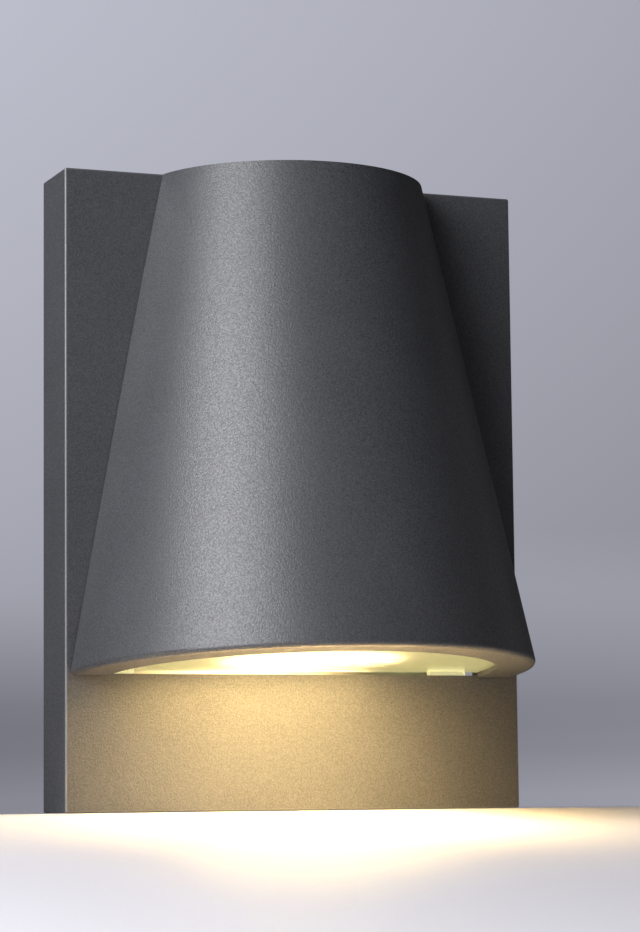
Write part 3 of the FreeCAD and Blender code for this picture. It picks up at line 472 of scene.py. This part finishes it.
def pick(kind, test=lambda place, way: True):
    """In edit mode, selects just the VERTs, EDGEs or FACEs that pass a test of their middle and direction."""
    bpy.ops.mesh.select_mode(type=kind)
    bpy.ops.mesh.select_all(action="DESELECT")
    data = bpy.context.edit_object.data
    mesh = bmesh.from_edit_mesh(data)
    if kind == "VERT":
        chosen = [v for v in mesh.verts if test(v.co, v.normal)]
    elif kind == "EDGE":
        chosen = [e for e in mesh.edges if test((e.verts[0].co + e.verts[1].co) / 2,
                                                (e.verts[1].co - e.verts[0].co).normalized())]
    else:
        chosen = [f for f in mesh.faces if test(f.calc_center_median(), f.normal)]
    for item in chosen:
        item.select_set(True)
    mesh.select_flush_mode()
    bmesh.update_edit_mesh(data)


def push(move, grow=1.0):
    """Extrudes the picked faces along a move, then widens the new end about the Z axis."""
    bpy.ops.mesh.extrude_region_move(TRANSFORM_OT_translate={"value": move})
    bpy.ops.transform.resize(value=(grow, grow, 1), center_override=(0, 0, 0))


def finish(piece, smooth=None):
    """Leaves edit mode with faces outwards, and smooths edges flatter than an angle."""
    bpy.ops.mesh.select_all(action="SELECT")
    bpy.ops.mesh.remove_doubles(threshold=0.001 * MM)
    bpy.ops.mesh.normals_make_consistent(inside=False)
    bpy.ops.object.mode_set(mode="OBJECT")
    if smooth is not None:
        bpy.ops.object.shade_smooth_by_angle(angle=smooth)
    return piece


def apply_modifier(piece, kind, **options):
    """Adds a modifier of a kind with these options, and applies it."""
    modifier = piece.modifiers.new(kind.lower(), kind)
    for name, value in options.items():
        setattr(modifier, name, value)
    bpy.context.view_layer.objects.active = piece
    bpy.ops.object.modifier_apply(modifier=modifier.name)


def join(piece, other):
    """Joins another piece's mesh to this one."""
    bpy.ops.object.select_all(action="DESELECT")
    piece.select_set(True)
    other.select_set(True)
    bpy.context.view_layer.objects.active = piece
    bpy.ops.object.join()


def settle(piece, nodes, body, material):
    """Gives a finished piece its material, its body and the nodes that it stands for."""
    piece.data.materials.clear()
    piece.data.materials.append(material)
    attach(piece, body)
    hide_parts(*nodes)


def solids(node):
    """The corner points of each separate solid of a node."""
    mesh = bmesh.new()
    mesh.from_mesh(NODES[node].data)
    bmesh.ops.remove_doubles(mesh, verts=mesh.verts, dist=0.01 * MM)
    waiting = set(mesh.verts)
    groups = []
    while waiting:
        reached = [waiting.pop()]
        points = []
        while reached:
            vertex = reached.pop()
            points.append(vertex.co.copy())
            near = {edge.other_vert(vertex) for edge in vertex.link_edges} & waiting
            waiting -= near
            reached += near
        groups.append(points)
    mesh.free()
    return groups


def levels(values):
    """The distinct values, in order."""
    found = []
    for value in sorted(values):
        if not found or value - found[-1] > 0.05 * MM:
            found.append(value)
    return found


# ------------------------------------------------------------------ screws

# outlines of the two kinds of head, as (share of the head's height, share of its radius)
PAN_HEAD = ((0.0, 1.0), (0.45, 1.0), (0.72, 0.94), (0.9, 0.78), (1.0, 0.55))
SUNK_HEAD = ((0.86, 0.97), (0.93, 1.0), (1.0, 0.98))

# shares of the shank's radius
SHANK_CORE = 0.84
THREAD_ROOT = 0.80
THREAD_PITCH = 0.36
TIP_BEVEL = 0.25

# share of the shank's length that is threaded, and width of the tip's end as a share of the shank's
THREAD_REACH = 0.92
TIP_WIDTH = 0.6
THREAD_STEPS = 14
SHANK_SIDES = 28

# widths of the drives as shares of the head's radius, and their depth as a share of its height
CROSS_WIDTH = 1.15
SOCKET_WIDTH = 0.62
DRIVE_DEPTH = 0.62

# shares of the drive's width: a cross's arm, the inset and the depth of a socket's drilled end
CROSS_ARM = 0.28
SOCKET_INSET = 0.2
SOCKET_POINT = 0.12

# width of a cross at its bottom as a share of its width at the top
CROSS_TAPER = 0.55


class ScrewPlace:
    """Where a screw of the frame stands and how large it is, measured along its axis."""

    def __init__(self, points, axis):
        self.turn = Vector(axis).to_track_quat("Z", "Y")
        back = self.turn.inverted()
        local = [back @ point for point in points]
        low = Vector([min(p[i] for p in local) for i in range(3)])
        high = Vector([max(p[i] for p in local) for i in range(3)])
        middle = (low + high) / 2
        reach = [(p.z, math.hypot(p.x - middle.x, p.y - middle.y)) for p in local]
        self.head = (high.x - low.x) / 2
        self.shank = max(far for z, far in reach if z < low.z + NEAR)
        seat = max(z for z, far in reach if abs(far - self.shank) < 0.03 * self.shank)
        self.length = seat - low.z
        self.height = high.z - seat
        self.tip = self.turn @ Vector((middle.x, middle.y, low.z))

    def matrix(self):
        """Brings a screw from its modelling place to this one."""
        return Matrix.Translation(self.tip) @ self.turn.to_matrix().to_4x4()


def screw_thread(radius, length, pitch):
    """Rolled thread: a three-sided ridge wound round the shank."""
    root = THREAD_ROOT * radius
    thread = start("thread", bpy.ops.mesh.primitive_circle_add, vertices=3, radius=pitch / 2)
    bpy.ops.object.mode_set(mode="OBJECT")
    for corner, (x, z) in zip(thread.data.vertices, ((root, 0.1), (radius, 0.5), (root, 0.9))):
        corner.co = (x, 0, z * pitch)
    turns = int(length / pitch) - 1
    apply_modifier(thread, "SCREW", axis="Z", steps=THREAD_STEPS, render_steps=THREAD_STEPS,
                   iterations=turns, screw_offset=pitch, use_merge_vertices=False)
    bpy.ops.object.mode_set(mode="EDIT")
    bpy.ops.mesh.select_all(action="DESELECT")
    bpy.ops.mesh.select_mode(type="VERT")
    bpy.ops.mesh.select_non_manifold()
    bpy.ops.mesh.fill_holes(sides=3)
    return finish(thread, math.radians(40))


def drive_cutter(shape, width, depth, top):
    """Tapered cross or six-sided plug that cuts a screw's drive."""
    if shape == "cross":
        arm = CROSS_ARM * width
        reach = (width - arm) / 2
        cutter = start("drive", bpy.ops.mesh.primitive_cube_add, size=arm, location=(0, 0, top))
        for side in (Vector((1, 0, 0)), Vector((-1, 0, 0)), Vector((0, 1, 0)), Vector((0, -1, 0))):
            pick("FACE", lambda place, way: way.dot(side) > 0.9 and place.dot(side) > 0.9 * place.xy.length)
            push(reach * side)
        pick("VERT", lambda place, way: place.z < top)
        bpy.ops.transform.translate(value=(0, 0, arm / 2 - depth))
        bpy.ops.transform.resize(value=(CROSS_TAPER, CROSS_TAPER, 1), center_override=(0, 0, top))
    else:
        cutter = start("drive", bpy.ops.mesh.primitive_cylinder_add, vertices=6, radius=width / math.sqrt(3),
                       depth=2 * depth, location=(0, 0, top))
        pick("FACE", lambda place, way: way.z < -0.5)
        bpy.ops.mesh.inset(thickness=SOCKET_INSET * width)
        bpy.ops.transform.translate(value=(0, 0, -SOCKET_POINT * width))
    return finish(cutter)


def model_screw(size, outline, drive):
    """One screw with its tip at the origin and its head up: shank, thread, head and drive."""
    core = SHANK_CORE * size.shank
    bevel = TIP_BEVEL * size.shank
    screw = start("screw", bpy.ops.mesh.primitive_cylinder_add, vertices=SHANK_SIDES, radius=core,
                  depth=size.length, location=(0, 0, size.length / 2))
    pick("FACE", lambda place, way: way.z < -0.5)
    push((0, 0, -bevel), TIP_WIDTH)
    bpy.ops.mesh.select_all(action="SELECT")
    bpy.ops.transform.translate(value=(0, 0, bevel))
    pick("FACE", lambda place, way: way.z > 0.5)
    bpy.ops.transform.translate(value=(0, 0, -bevel))
    height = 0.0
    radius = core
    for share, width in outline:
        push((0, 0, share * size.height - height), width * size.head / radius)
        height = share * size.height
        radius = width * size.head
    finish(screw, math.radians(35))
    top = size.length + size.height
    across = (CROSS_WIDTH if drive == "cross" else SOCKET_WIDTH) * size.head
    cutter = drive_cutter(drive, across, DRIVE_DEPTH * size.height, top)
    apply_modifier(screw, "BOOLEAN", operation="DIFFERENCE", solver="EXACT", object=cutter)
    bpy.data.objects.remove(cutter)
    thread = screw_thread(size.shank, THREAD_REACH * size.length, THREAD_PITCH * size.shank)
    join(screw, thread)
    return screw


def set_screws(node, body, axis, outline, drive, material, name):
    """Models one screw of a node and puts a copy in each of its places."""
    places = [ScrewPlace(points, axis) for points in solids(node)]
    places.sort(key=lambda place: tuple(place.tip))
    model = model_screw(places[0], outline, drive)
    for number, place in enumerate(places):
        copy = model.copy()
        copy.data = model.data.copy()
        copy.name = name if len(places) == 1 else "%s_%d" % (name, number + 1)
        bpy.context.scene.collection.objects.link(copy)
        copy.data.transform(place.matrix())
        settle(copy, [node], body, material)
    bpy.data.objects.remove(model)


# ------------------------------------------------------------------ pieces

class WALL_LIGHT_OT_housing(bpy.types.Operator):
    """Powder-coats the one-piece cast housing"""

    bl_idname = "wall_light.housing"
    bl_label = "Housing"

    def execute(self, context):
        dress("housing", powder_coat())
        return {"FINISHED"}


class WALL_LIGHT_OT_glass(bpy.types.Operator):
    """Finishes the glass and its seal, and makes the two clear clips on its back edge"""

    bl_idname = "wall_light.glass"
    bl_label = "Glass and clips"

    def execute(self, context):
        dress("glass", clear_glass())
        dress("glass_seal", rubber_skin("grey silicone", (0.30, 0.30, 0.31), 0.5))
        silicone = clear_silicone()
        for side in ("left", "right"):
            self.make_clip("glass_clip_" + side, silicone)
        return {"FINISHED"}

    def make_clip(self, node, silicone):
        """U-shaped clip: a web behind the glass, an arm over it and one under it, all edges rounded."""
        level = Matrix.Rotation(SHADE_TILT, 4, "X")
        points = [level @ vertex.co for vertex in NODES[node].data.vertices]
        left, right = min(p.x for p in points), max(p.x for p in points)
        front, web, back = levels(p.y for p in points)
        bottom, glass_bottom, glass_top, top = levels(p.z for p in points)
        clip = start("clear_" + node, bpy.ops.mesh.primitive_cube_add, size=1.0,
                     location=((left + right) / 2, (web + back) / 2, (bottom + top) / 2),
                     stretch=(right - left, back - web, top - bottom))
        for height in (glass_bottom, glass_top):
            pick("FACE")
            bpy.ops.mesh.bisect(plane_co=(0, 0, height), plane_no=(0, 0, 1))
        pick("FACE", lambda place, way: way.y < -0.5 and not glass_bottom < place.z < glass_top)
        push((0, front - web, 0))
        bpy.ops.mesh.select_all(action="SELECT")
        bpy.ops.mesh.dissolve_limited(angle_limit=math.radians(1))
        pick("EDGE", lambda place, way: not (abs(place.y - web) < NEAR
                                             and glass_bottom - NEAR < place.z < glass_top + NEAR))
        bpy.ops.mesh.bevel(offset=CLIP_EDGE, segments=EDGE_STEPS, affect="EDGES")
        finish(clip, math.radians(35))
        clip.data.transform(level.inverted())
        settle(clip, [node], "housing", silicone)


class WALL_LIGHT_OT_retainers(bpy.types.Operator):
    """Finishes the spring plates that hold the glass and the other small bright steel pieces"""

    bl_idname = "wall_light.retainers"
    bl_label = "Glass retainers"

    def execute(self, context):
        steel = bright_metal("bright steel", (0.62, 0.62, 0.61), 0.28)
        for node in ("glass_retainers", "fixing_nuts", "shelf_rivets", "earth_washer"):
            dress(node, steel)
        return {"FINISHED"}


class WALL_LIGHT_OT_screws(bpy.types.Operator):
    """Makes the two countersunk fixing screws and all the round-head screws"""

    bl_idname = "wall_light.screws"
    bl_label = "Screws"

    def execute(self, context):
        steel = bright_metal("bright screw steel", (0.60, 0.60, 0.59), 0.25)
        for side in ("left", "right"):
            set_screws("fixing_screw_" + side, "screw_" + side, (0, 0, -1), SUNK_HEAD, "socket", steel,
                       "countersunk_screw_" + side)
        lean = (0, math.sin(SHADE_TILT), math.cos(SHADE_TILT))
        set_screws("retainer_screws", "housing", lean, PAN_HEAD, "cross", steel, "retainer_screw")
        set_screws("holder_screws", "wall_base", (0, 0, 1), PAN_HEAD, "cross", steel, "holder_screw")
        set_screws("terminal_fixings", "wall_base", (0, -1, 0), PAN_HEAD, "cross", steel, "terminal_fixing")
        set_screws("earth_screw", "wall_base", (0, -1, 0), PAN_HEAD, "cross", steel, "earthing_screw")
        return {"FINISHED"}


class WALL_LIGHT_OT_bracket(bpy.types.Operator):
    """Finishes the wall bracket, its grommet, the wall seal and the lamp shelf"""

    bl_idname = "wall_light.bracket"
    bl_label = "Wall bracket"

    def execute(self, context):
        zinc = plated_steel("zinc steel", (0.58, 0.59, 0.60), "Z", 0.38)
        dress("wall_bracket", zinc)
        dress("lamp_shelf", zinc)
        self.make_grommet(rubber_skin("black rubber", (0.025, 0.025, 0.027), 0.55))
        self.make_seal(rubber_skin("black foam rubber", (0.03, 0.03, 0.032), 0.7))
        return {"FINISHED"}

    def make_grommet(self, rubber):
        """Rubber ring spun from an H-shaped section with rounded corners."""
        low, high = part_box("cable_grommet")
        x, z = (low.x + high.x) / 2, (low.z + high.z) / 2
        points = [vertex.co for vertex in NODES["cable_grommet"].data.vertices]
        bore, neck, *_, flange = levels(math.hypot(p.x - x, p.z - z) for p in points)
        front, *_, groove_front, groove_back, back = levels(p.y for p in points)
        thick = 1 * MM      # of the block whose top gives the section
        grommet = start("ring_grommet", bpy.ops.mesh.primitive_cube_add, size=1.0,
                        location=(x + (bore + neck) / 2, (front + back) / 2, z),
                        stretch=(neck - bore, back - front, thick))
        pick("FACE", lambda place, way: way.z < 0.5)
        bpy.ops.mesh.delete(type="FACE")
        for y in (groove_front, groove_back):
            pick("FACE")
            bpy.ops.mesh.bisect(plane_co=(0, y, z), plane_no=(0, 1, 0))
        pick("EDGE", lambda place, way: place.x > x + neck - NEAR and abs(way.y) > 0.9
             and not groove_front < place.y < groove_back)
        bpy.ops.mesh.extrude_region_move(TRANSFORM_OT_translate={"value": (flange - neck, 0, 0)})
        pick("FACE")
        bpy.ops.mesh.dissolve_faces()
        pick("VERT")
        bpy.ops.mesh.bevel(offset=GROMMET_EDGE, segments=EDGE_STEPS, affect="VERTICES")
        pick("VERT")
        bpy.ops.transform.translate(value=(0, 0, -thick / 2))
        pick("FACE")
        bpy.ops.mesh.delete(type="ONLY_FACE")
        pick("EDGE")
        bpy.ops.mesh.spin(steps=RING_STEPS, angle=2 * math.pi, center=(x, 0, z), axis=(0, 1, 0))
        finish(grommet, math.radians(40))
        settle(grommet, ["cable_grommet"], "wall_base", rubber)

    def make_seal(self, rubber):
        """Square rubber strip round the box's back rim, with rounded long edges."""
        low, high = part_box("wall_seal")
        outside, inside, *_ = levels(vertex.co.x for vertex in NODES["wall_seal"].data.vertices)
        width = inside - outside
        seal = start("rim_seal", bpy.ops.mesh.primitive_plane_add, size=1.0, rotation=(math.pi / 2, 0, 0),
                     location=((low.x + high.x) / 2, low.y, (low.z + high.z) / 2),
                     stretch=(high.x - low.x, high.z - low.z, 1))
        pick("FACE")
        bpy.ops.mesh.inset(thickness=width)
        pick("FACE", lambda place, way: abs(place.x) < width and abs(place.z) < width)
        bpy.ops.mesh.delete(type="FACE")
        pick("FACE")
        push((0, high.y - low.y, 0))
        pick("EDGE", lambda place, way: max(abs(way.x), abs(way.z)) > 0.99)
        bpy.ops.mesh.bevel(offset=SEAL_EDGE, segments=EDGE_STEPS, affect="EDGES")
        finish(seal, math.radians(40))
        settle(seal, ["wall_seal"], "housing", rubber)


class WALL_LIGHT_OT_lampholder(bpy.types.Operator):
    """Finishes the lampholder and its contact springs"""

    bl_idname = "wall_light.lampholder"
    bl_label = "Lampholder"

    def execute(self, context):
        dress("lampholder", moulding("holder moulding", (0.80, 0.79, 0.76), 0.45))
        brass = bright_metal("brass", (0.78, 0.57, 0.25), 0.3)
        for node in ("holder_contacts", "lamp_pins", "terminal_tubes", "terminal_screws"):
            dress(node, brass)
        return {"FINISHED"}


class WALL_LIGHT_OT_lamp(bpy.types.Operator):
    """Finishes the disc lamp and lights its dome"""

    bl_idname = "wall_light.lamp"
    bl_label = "Disc lamp"

    def execute(self, context):
        dress("lamp_shell", moulding("lamp moulding", (0.82, 0.82, 0.80), 0.35))
        dress("lamp_dome", lit_opal())
        dress("lamp_led_board", circuit_board("board aluminium", (0.75, 0.76, 0.76)))
        dress("lamp_leds", light_chip())
        dress("lamp_driver", circuit_board("board green", (0.03, 0.14, 0.06)))
        return {"FINISHED"}


class WALL_LIGHT_OT_wiring(bpy.types.Operator):
    """Finishes the terminal block, the earth connection and the leads"""

    bl_idname = "wall_light.wiring"
    bl_label = "Wiring"

    def execute(self, context):
        dress("terminal_block", moulding("terminal moulding", (0.78, 0.77, 0.70), 0.42))
        dress("earth_lug", plated_steel("tinned copper", (0.70, 0.69, 0.66), "Z", 0.3))
        dress("live_lead", cable_sheath("brown lead", (0.16, 0.06, 0.03)))
        dress("neutral_lead", cable_sheath("blue lead", (0.03, 0.14, 0.45)))
        dress("earth_lead", striped_sheath("green and yellow lead", (0.06, 0.35, 0.07), (0.75, 0.62, 0.05),
                                           2.2 * MM))
        return {"FINISHED"}


# ------------------------------------------------------------------ stage

# the camera's place and turn were solved from the box's corners in the photo
CAMERA_PLACE = (-0.39365, -1.04488, -0.11313)
CAMERA_TURN = (math.radians(96.4519), math.radians(0.6035), math.radians(-21.5666))
CAMERA_LENS = 113.02
SENSOR_LONG_SIDE = 36.0

# both studio lights face the target from one distance
LIGHT_TARGET = Vector((0, -0.05, 0))
LIGHT_DISTANCE = 1.1
LIGHT_COLOUR = (0.99, 0.99, 1.015)

# soft box at the front left: its direction from the target (turn to the left, rise) and its size
KEY_DIRECTION = (math.radians(60), math.radians(25))
KEY_SIZE = (0.77, 0.77)

# weak strip light at the right, a little behind the lamp's front, that lifts the shade's far side
SIDE_DIRECTION = (math.radians(-108), math.radians(12))
SIDE_SIZE = (0.24, 0.57)

# the table top is level under the box, tilts in front of it and behind it, and fades out at its edges
FLOOR_HALF_WIDTH = 1.1
FLOOR_FRONT = -1.3
FLOOR_BACK = 0.010
FLOOR_FADE = 0.055
FLOOR_WIDE_FADE = 0.5
FLOOR_GAP = 0.2 * MM

# light that leaves the glass: an ellipse just under it that leans towards the box
GLOW_SIZE = (0.100, 0.044)
GLOW_AWAY = 45 * MM
GLOW_SIDE = -6 * MM
GLOW_LEAN = math.radians(10)
GLOW_SPREAD = math.radians(165)
GLOW_GAP = 0.5 * MM

# backdrop's tone at the height of a direction above the horizon, as the sine of its angle
BACKDROP_TONES = (
    (-1.0, 0.16), (-0.08, 0.28), (0.0, 0.27), (0.015, 0.21), (0.028, 0.20), (0.068, 0.36), (0.17, 0.45),
    (0.25, 0.51), (0.5, 0.66), (1.0, 0.5),
)
BACKDROP_TINT = (1.0, 1.02, 1.18)

# The backdrop's strength rises along BRIGHT_WAY high up and falls along it near the floor, both written as
# (slope, middle). High up it has a least, for mirrored and for seen light, and near the floor a most.
BRIGHT_WAY = (-0.5, 0.866, 0.0)
HIGH_STRENGTH = (1.35, 0.055)
LEAST_STRENGTH = (0.08, 0.5)
LOW_STRENGTH = (-1.65, 2.05)
MOST_STRENGTH = 1.2
LOW_ZONE = (0.02, 0.09)
MIRRORED_SHARE = 0.2


def soft_light(name, place, target, size, power, colour, shape="RECTANGLE"):
    """Area light that faces a point and stays out of the camera's sight."""
    lamp = bpy.data.lights.new(name, "AREA")
    lamp.shape = shape
    lamp.size = size[0]
    lamp.size_y = size[1]
    lamp.energy = power
    lamp.color = colour
    holder = bpy.data.objects.new(name, lamp)
    bpy.context.scene.collection.objects.link(holder)
    holder.location = place
    holder.rotation_euler = (Vector(target) - Vector(place)).to_track_quat("-Z", "Y").to_euler()
    holder.visible_camera = False
    return holder


def backdrop_world(ambient):
    """Pale blue-grey backdrop, brighter behind the lamp's left, and an even low light for the object."""
    world = bpy.data.worlds.new("backdrop")
    bpy.context.scene.world = world
    world.use_nodes = True
    sky = Nodes(world.node_tree)
    direction = sky.add("ShaderNodeTexCoord", {}).outputs["Generated"]
    height = sky.add("ShaderNodeSeparateXYZ", {"Vector": direction}).outputs["Z"]
    stops = [((at + 1) / 2, [tone * part for part in BACKDROP_TINT]) for at, tone in BACKDROP_TONES]
    tones = sky.colours(sky.spread(height, -1.0, 1.0, curve="LINEAR"), stops)
    facing = sky.add("ShaderNodeVectorMath", {0: direction, 1: BRIGHT_WAY},
                     operation="DOT_PRODUCT").outputs["Value"]
    ray = sky.add("ShaderNodeLightPath", {}).outputs
    least = sky.spread(ray["Is Camera Ray"], 0.0, 1.0, *LEAST_STRENGTH, curve="LINEAR")
    high_up = sky.maths("MAXIMUM", sky.maths("MULTIPLY_ADD", facing, *HIGH_STRENGTH), least)
    low_down = sky.maths("MINIMUM", sky.maths("MULTIPLY_ADD", facing, *LOW_STRENGTH), MOST_STRENGTH)
    lowness = sky.spread(height, *LOW_ZONE, 1.0, 0.0, curve="LINEAR")
    strength = sky.add("ShaderNodeMix", {"Factor": lowness, 2: high_up, 3: low_down}).outputs[0]
    share = sky.spread(ray["Is Glossy Ray"], 0.0, 1.0, 1.0, MIRRORED_SHARE, curve="LINEAR")
    strength = sky.maths("MULTIPLY", strength, share)
    backdrop = sky.add("ShaderNodeBackground", {"Color": tones, "Strength": strength})
    even = sky.add("ShaderNodeBackground", {"Color": (0.92, 0.95, 1.0, 1.0), "Strength": ambient})
    seen = sky.maths("MAXIMUM", sky.maths("MAXIMUM", ray["Is Camera Ray"], ray["Is Glossy Ray"]),
                     ray["Is Transmission Ray"])
    choice = sky.add("ShaderNodeMixShader", {0: seen, 1: even.outputs[0], 2: backdrop.outputs[0]})
    sky.join(sky.tree.nodes["World Output"].inputs["Surface"], choice.outputs[0])


def floor_finish(colour):
    """Smooth painted table top that fades out at its far edge and all round, and from below."""
    floor = Finish("table top")
    split = floor.add("ShaderNodeSeparateXYZ", {"Vector": floor.place})
    fades = [
        floor.spread(split.outputs["Y"], FLOOR_BACK, FLOOR_BACK - FLOOR_FADE),
        floor.spread(split.outputs["Y"], FLOOR_FRONT, FLOOR_FRONT + FLOOR_WIDE_FADE),
        floor.spread(floor.maths("ABSOLUTE", split.outputs["X"]), FLOOR_HALF_WIDTH,
                     FLOOR_HALF_WIDTH - FLOOR_WIDE_FADE),
    ]
    seen = floor.maths("MULTIPLY", floor.maths("MULTIPLY", fades[0], fades[1]), fades[2])
    above = floor.maths("SUBTRACT", 1.0, floor.add("ShaderNodeNewGeometry", {}).outputs["Backfacing"])
    texture = floor.noise(0.8 * MM, detail=2.0)
    floor.surface(
        Base_Color=floor.tones(texture, colour, 0.97, 1.02),
        Roughness=floor.spread(texture, 0.3, 0.7, 0.47, 0.53),
        Specular_IOR_Level=0.25,
        Alpha=floor.maths("MULTIPLY", seen, above))
    return floor.material


class WALL_LIGHT_OT_stage(bpy.types.Operator):
    """Makes the table top, the backdrop, the studio lights and the camera"""

    bl_idname = "wall_light.stage"
    bl_label = "Stage"

    def execute(self, context):
        scene = context.scene
        settings = scene.wall_light_stage
        scene.view_settings.view_transform = "Standard"
        self.make_floor(settings)
        backdrop_world(settings.ambient)
        self.hang_studio_light("key light", KEY_DIRECTION, KEY_SIZE, settings.key_power)
        self.hang_studio_light("side light", SIDE_DIRECTION, SIDE_SIZE, settings.side_power)
        self.hang_glow(scene.wall_light_glow)
        self.place_camera(scene)
        return {"FINISHED"}

    def make_floor(self, settings):
        """Table top that touches the box's underside and is folded along the box's front and back."""
        middle = (0, (FLOOR_BACK + FLOOR_FRONT) / 2, HOUSING_LOW.z - FLOOR_GAP)
        floor = start("table_top", bpy.ops.mesh.primitive_plane_add, size=1.0, location=middle,
                      stretch=(2 * FLOOR_HALF_WIDTH, FLOOR_BACK - FLOOR_FRONT, 1))
        for y in (HOUSING_FRONT, 0):
            pick("FACE")
            bpy.ops.mesh.bisect(plane_co=(0, y, middle[2]), plane_no=(0, 1, 0))
        slope = math.tan(settings.floor_tilt)
        for y, fold in ((FLOOR_FRONT, HOUSING_FRONT), (FLOOR_BACK, 0)):
            pick("VERT", lambda place, way: abs(place.y - y) < NEAR)
            bpy.ops.transform.translate(value=(0, 0, (y - fold) * slope))
        bpy.ops.object.mode_set(mode="OBJECT")
        floor.data.materials.append(floor_finish(settings.floor_colour))

    def hang_studio_light(self, name, direction, size, power):
        """Soft light that faces the lamp from a direction, given as its turn to the left and its rise."""
        turn, rise = direction
        level = math.cos(rise)
        towards = Vector((-math.sin(turn) * level, -math.cos(turn) * level, math.sin(rise)))
        soft_light(name, LIGHT_TARGET + LIGHT_DISTANCE * towards, LIGHT_TARGET, size, power, LIGHT_COLOUR)

    def hang_glow(self, glow):
        """The lamp's own light, hung just under the glass."""
        under = Vector((GLOW_SIDE, HOUSING_FRONT - GLOW_AWAY, GLASS_BOTTOM - GLOW_GAP))
        target = under + Vector((0, math.sin(GLOW_LEAN), -math.cos(GLOW_LEAN)))
        holder = soft_light("lamp glow", under, target, GLOW_SIZE, glow.power, glow.colour, shape="ELLIPSE")
        holder.data.spread = GLOW_SPREAD

    def place_camera(self, scene):
        """Camera at the photo's viewing angle."""
        eye = bpy.data.cameras.new("camera")
        eye.sensor_width = SENSOR_LONG_SIDE
        eye.lens = CAMERA_LENS
        holder = bpy.data.objects.new("camera", eye)
        scene.collection.objects.link(holder)
        holder.location = CAMERA_PLACE
        holder.rotation_euler = CAMERA_TURN
        scene.camera = holder


# ------------------------------------------------------------------ panel and registration

OPERATORS = (
    WALL_LIGHT_OT_housing,
    WALL_LIGHT_OT_glass,
    WALL_LIGHT_OT_retainers,
    WALL_LIGHT_OT_screws,
    WALL_LIGHT_OT_bracket,
    WALL_LIGHT_OT_lampholder,
    WALL_LIGHT_OT_lamp,
    WALL_LIGHT_OT_wiring,
    WALL_LIGHT_OT_stage,
)


class WALL_LIGHT_PT_tools(bpy.types.Panel):
    """Lists the wall light's settings and pieces"""

    bl_idname = "WALL_LIGHT_PT_tools"
    bl_label = "Wall light"
    bl_space_type = "VIEW_3D"
    bl_region_type = "UI"
    bl_category = "Wall light"

    def draw(self, context):
        for group in SETTINGS:
            settings = getattr(context.scene, "wall_light_" + group)
            box = self.layout.box()
            box.label(text=group.capitalize())
            for name in settings.__annotations__:
                box.prop(settings, name)
        for operator in OPERATORS:
            self.layout.operator(operator.bl_idname)


SETTINGS = {"coat": CoatSettings, "glow": GlowSettings, "stage": StageSettings}


def register():
    for kind in (*SETTINGS.values(), *OPERATORS, WALL_LIGHT_PT_tools):
        bpy.utils.register_class(kind)
    for name, kind in SETTINGS.items():
        setattr(bpy.types.Scene, "wall_light_" + name, PointerProperty(type=kind))


def unregister():
    for name in SETTINGS:
        delattr(bpy.types.Scene, "wall_light_" + name)
    for kind in (WALL_LIGHT_PT_tools, *reversed(OPERATORS), *SETTINGS.values()):
        bpy.utils.unregister_class(kind)


def main():
    register()
    bpy.ops.wall_light.housing()
    bpy.ops.wall_light.glass()
    bpy.ops.wall_light.retainers()
    bpy.ops.wall_light.screws()
    bpy.ops.wall_light.bracket()
    bpy.ops.wall_light.lampholder()
    bpy.ops.wall_light.lamp()
    bpy.ops.wall_light.wiring()
    bpy.ops.wall_light.stage()


if __name__ == "__main__":
    main()
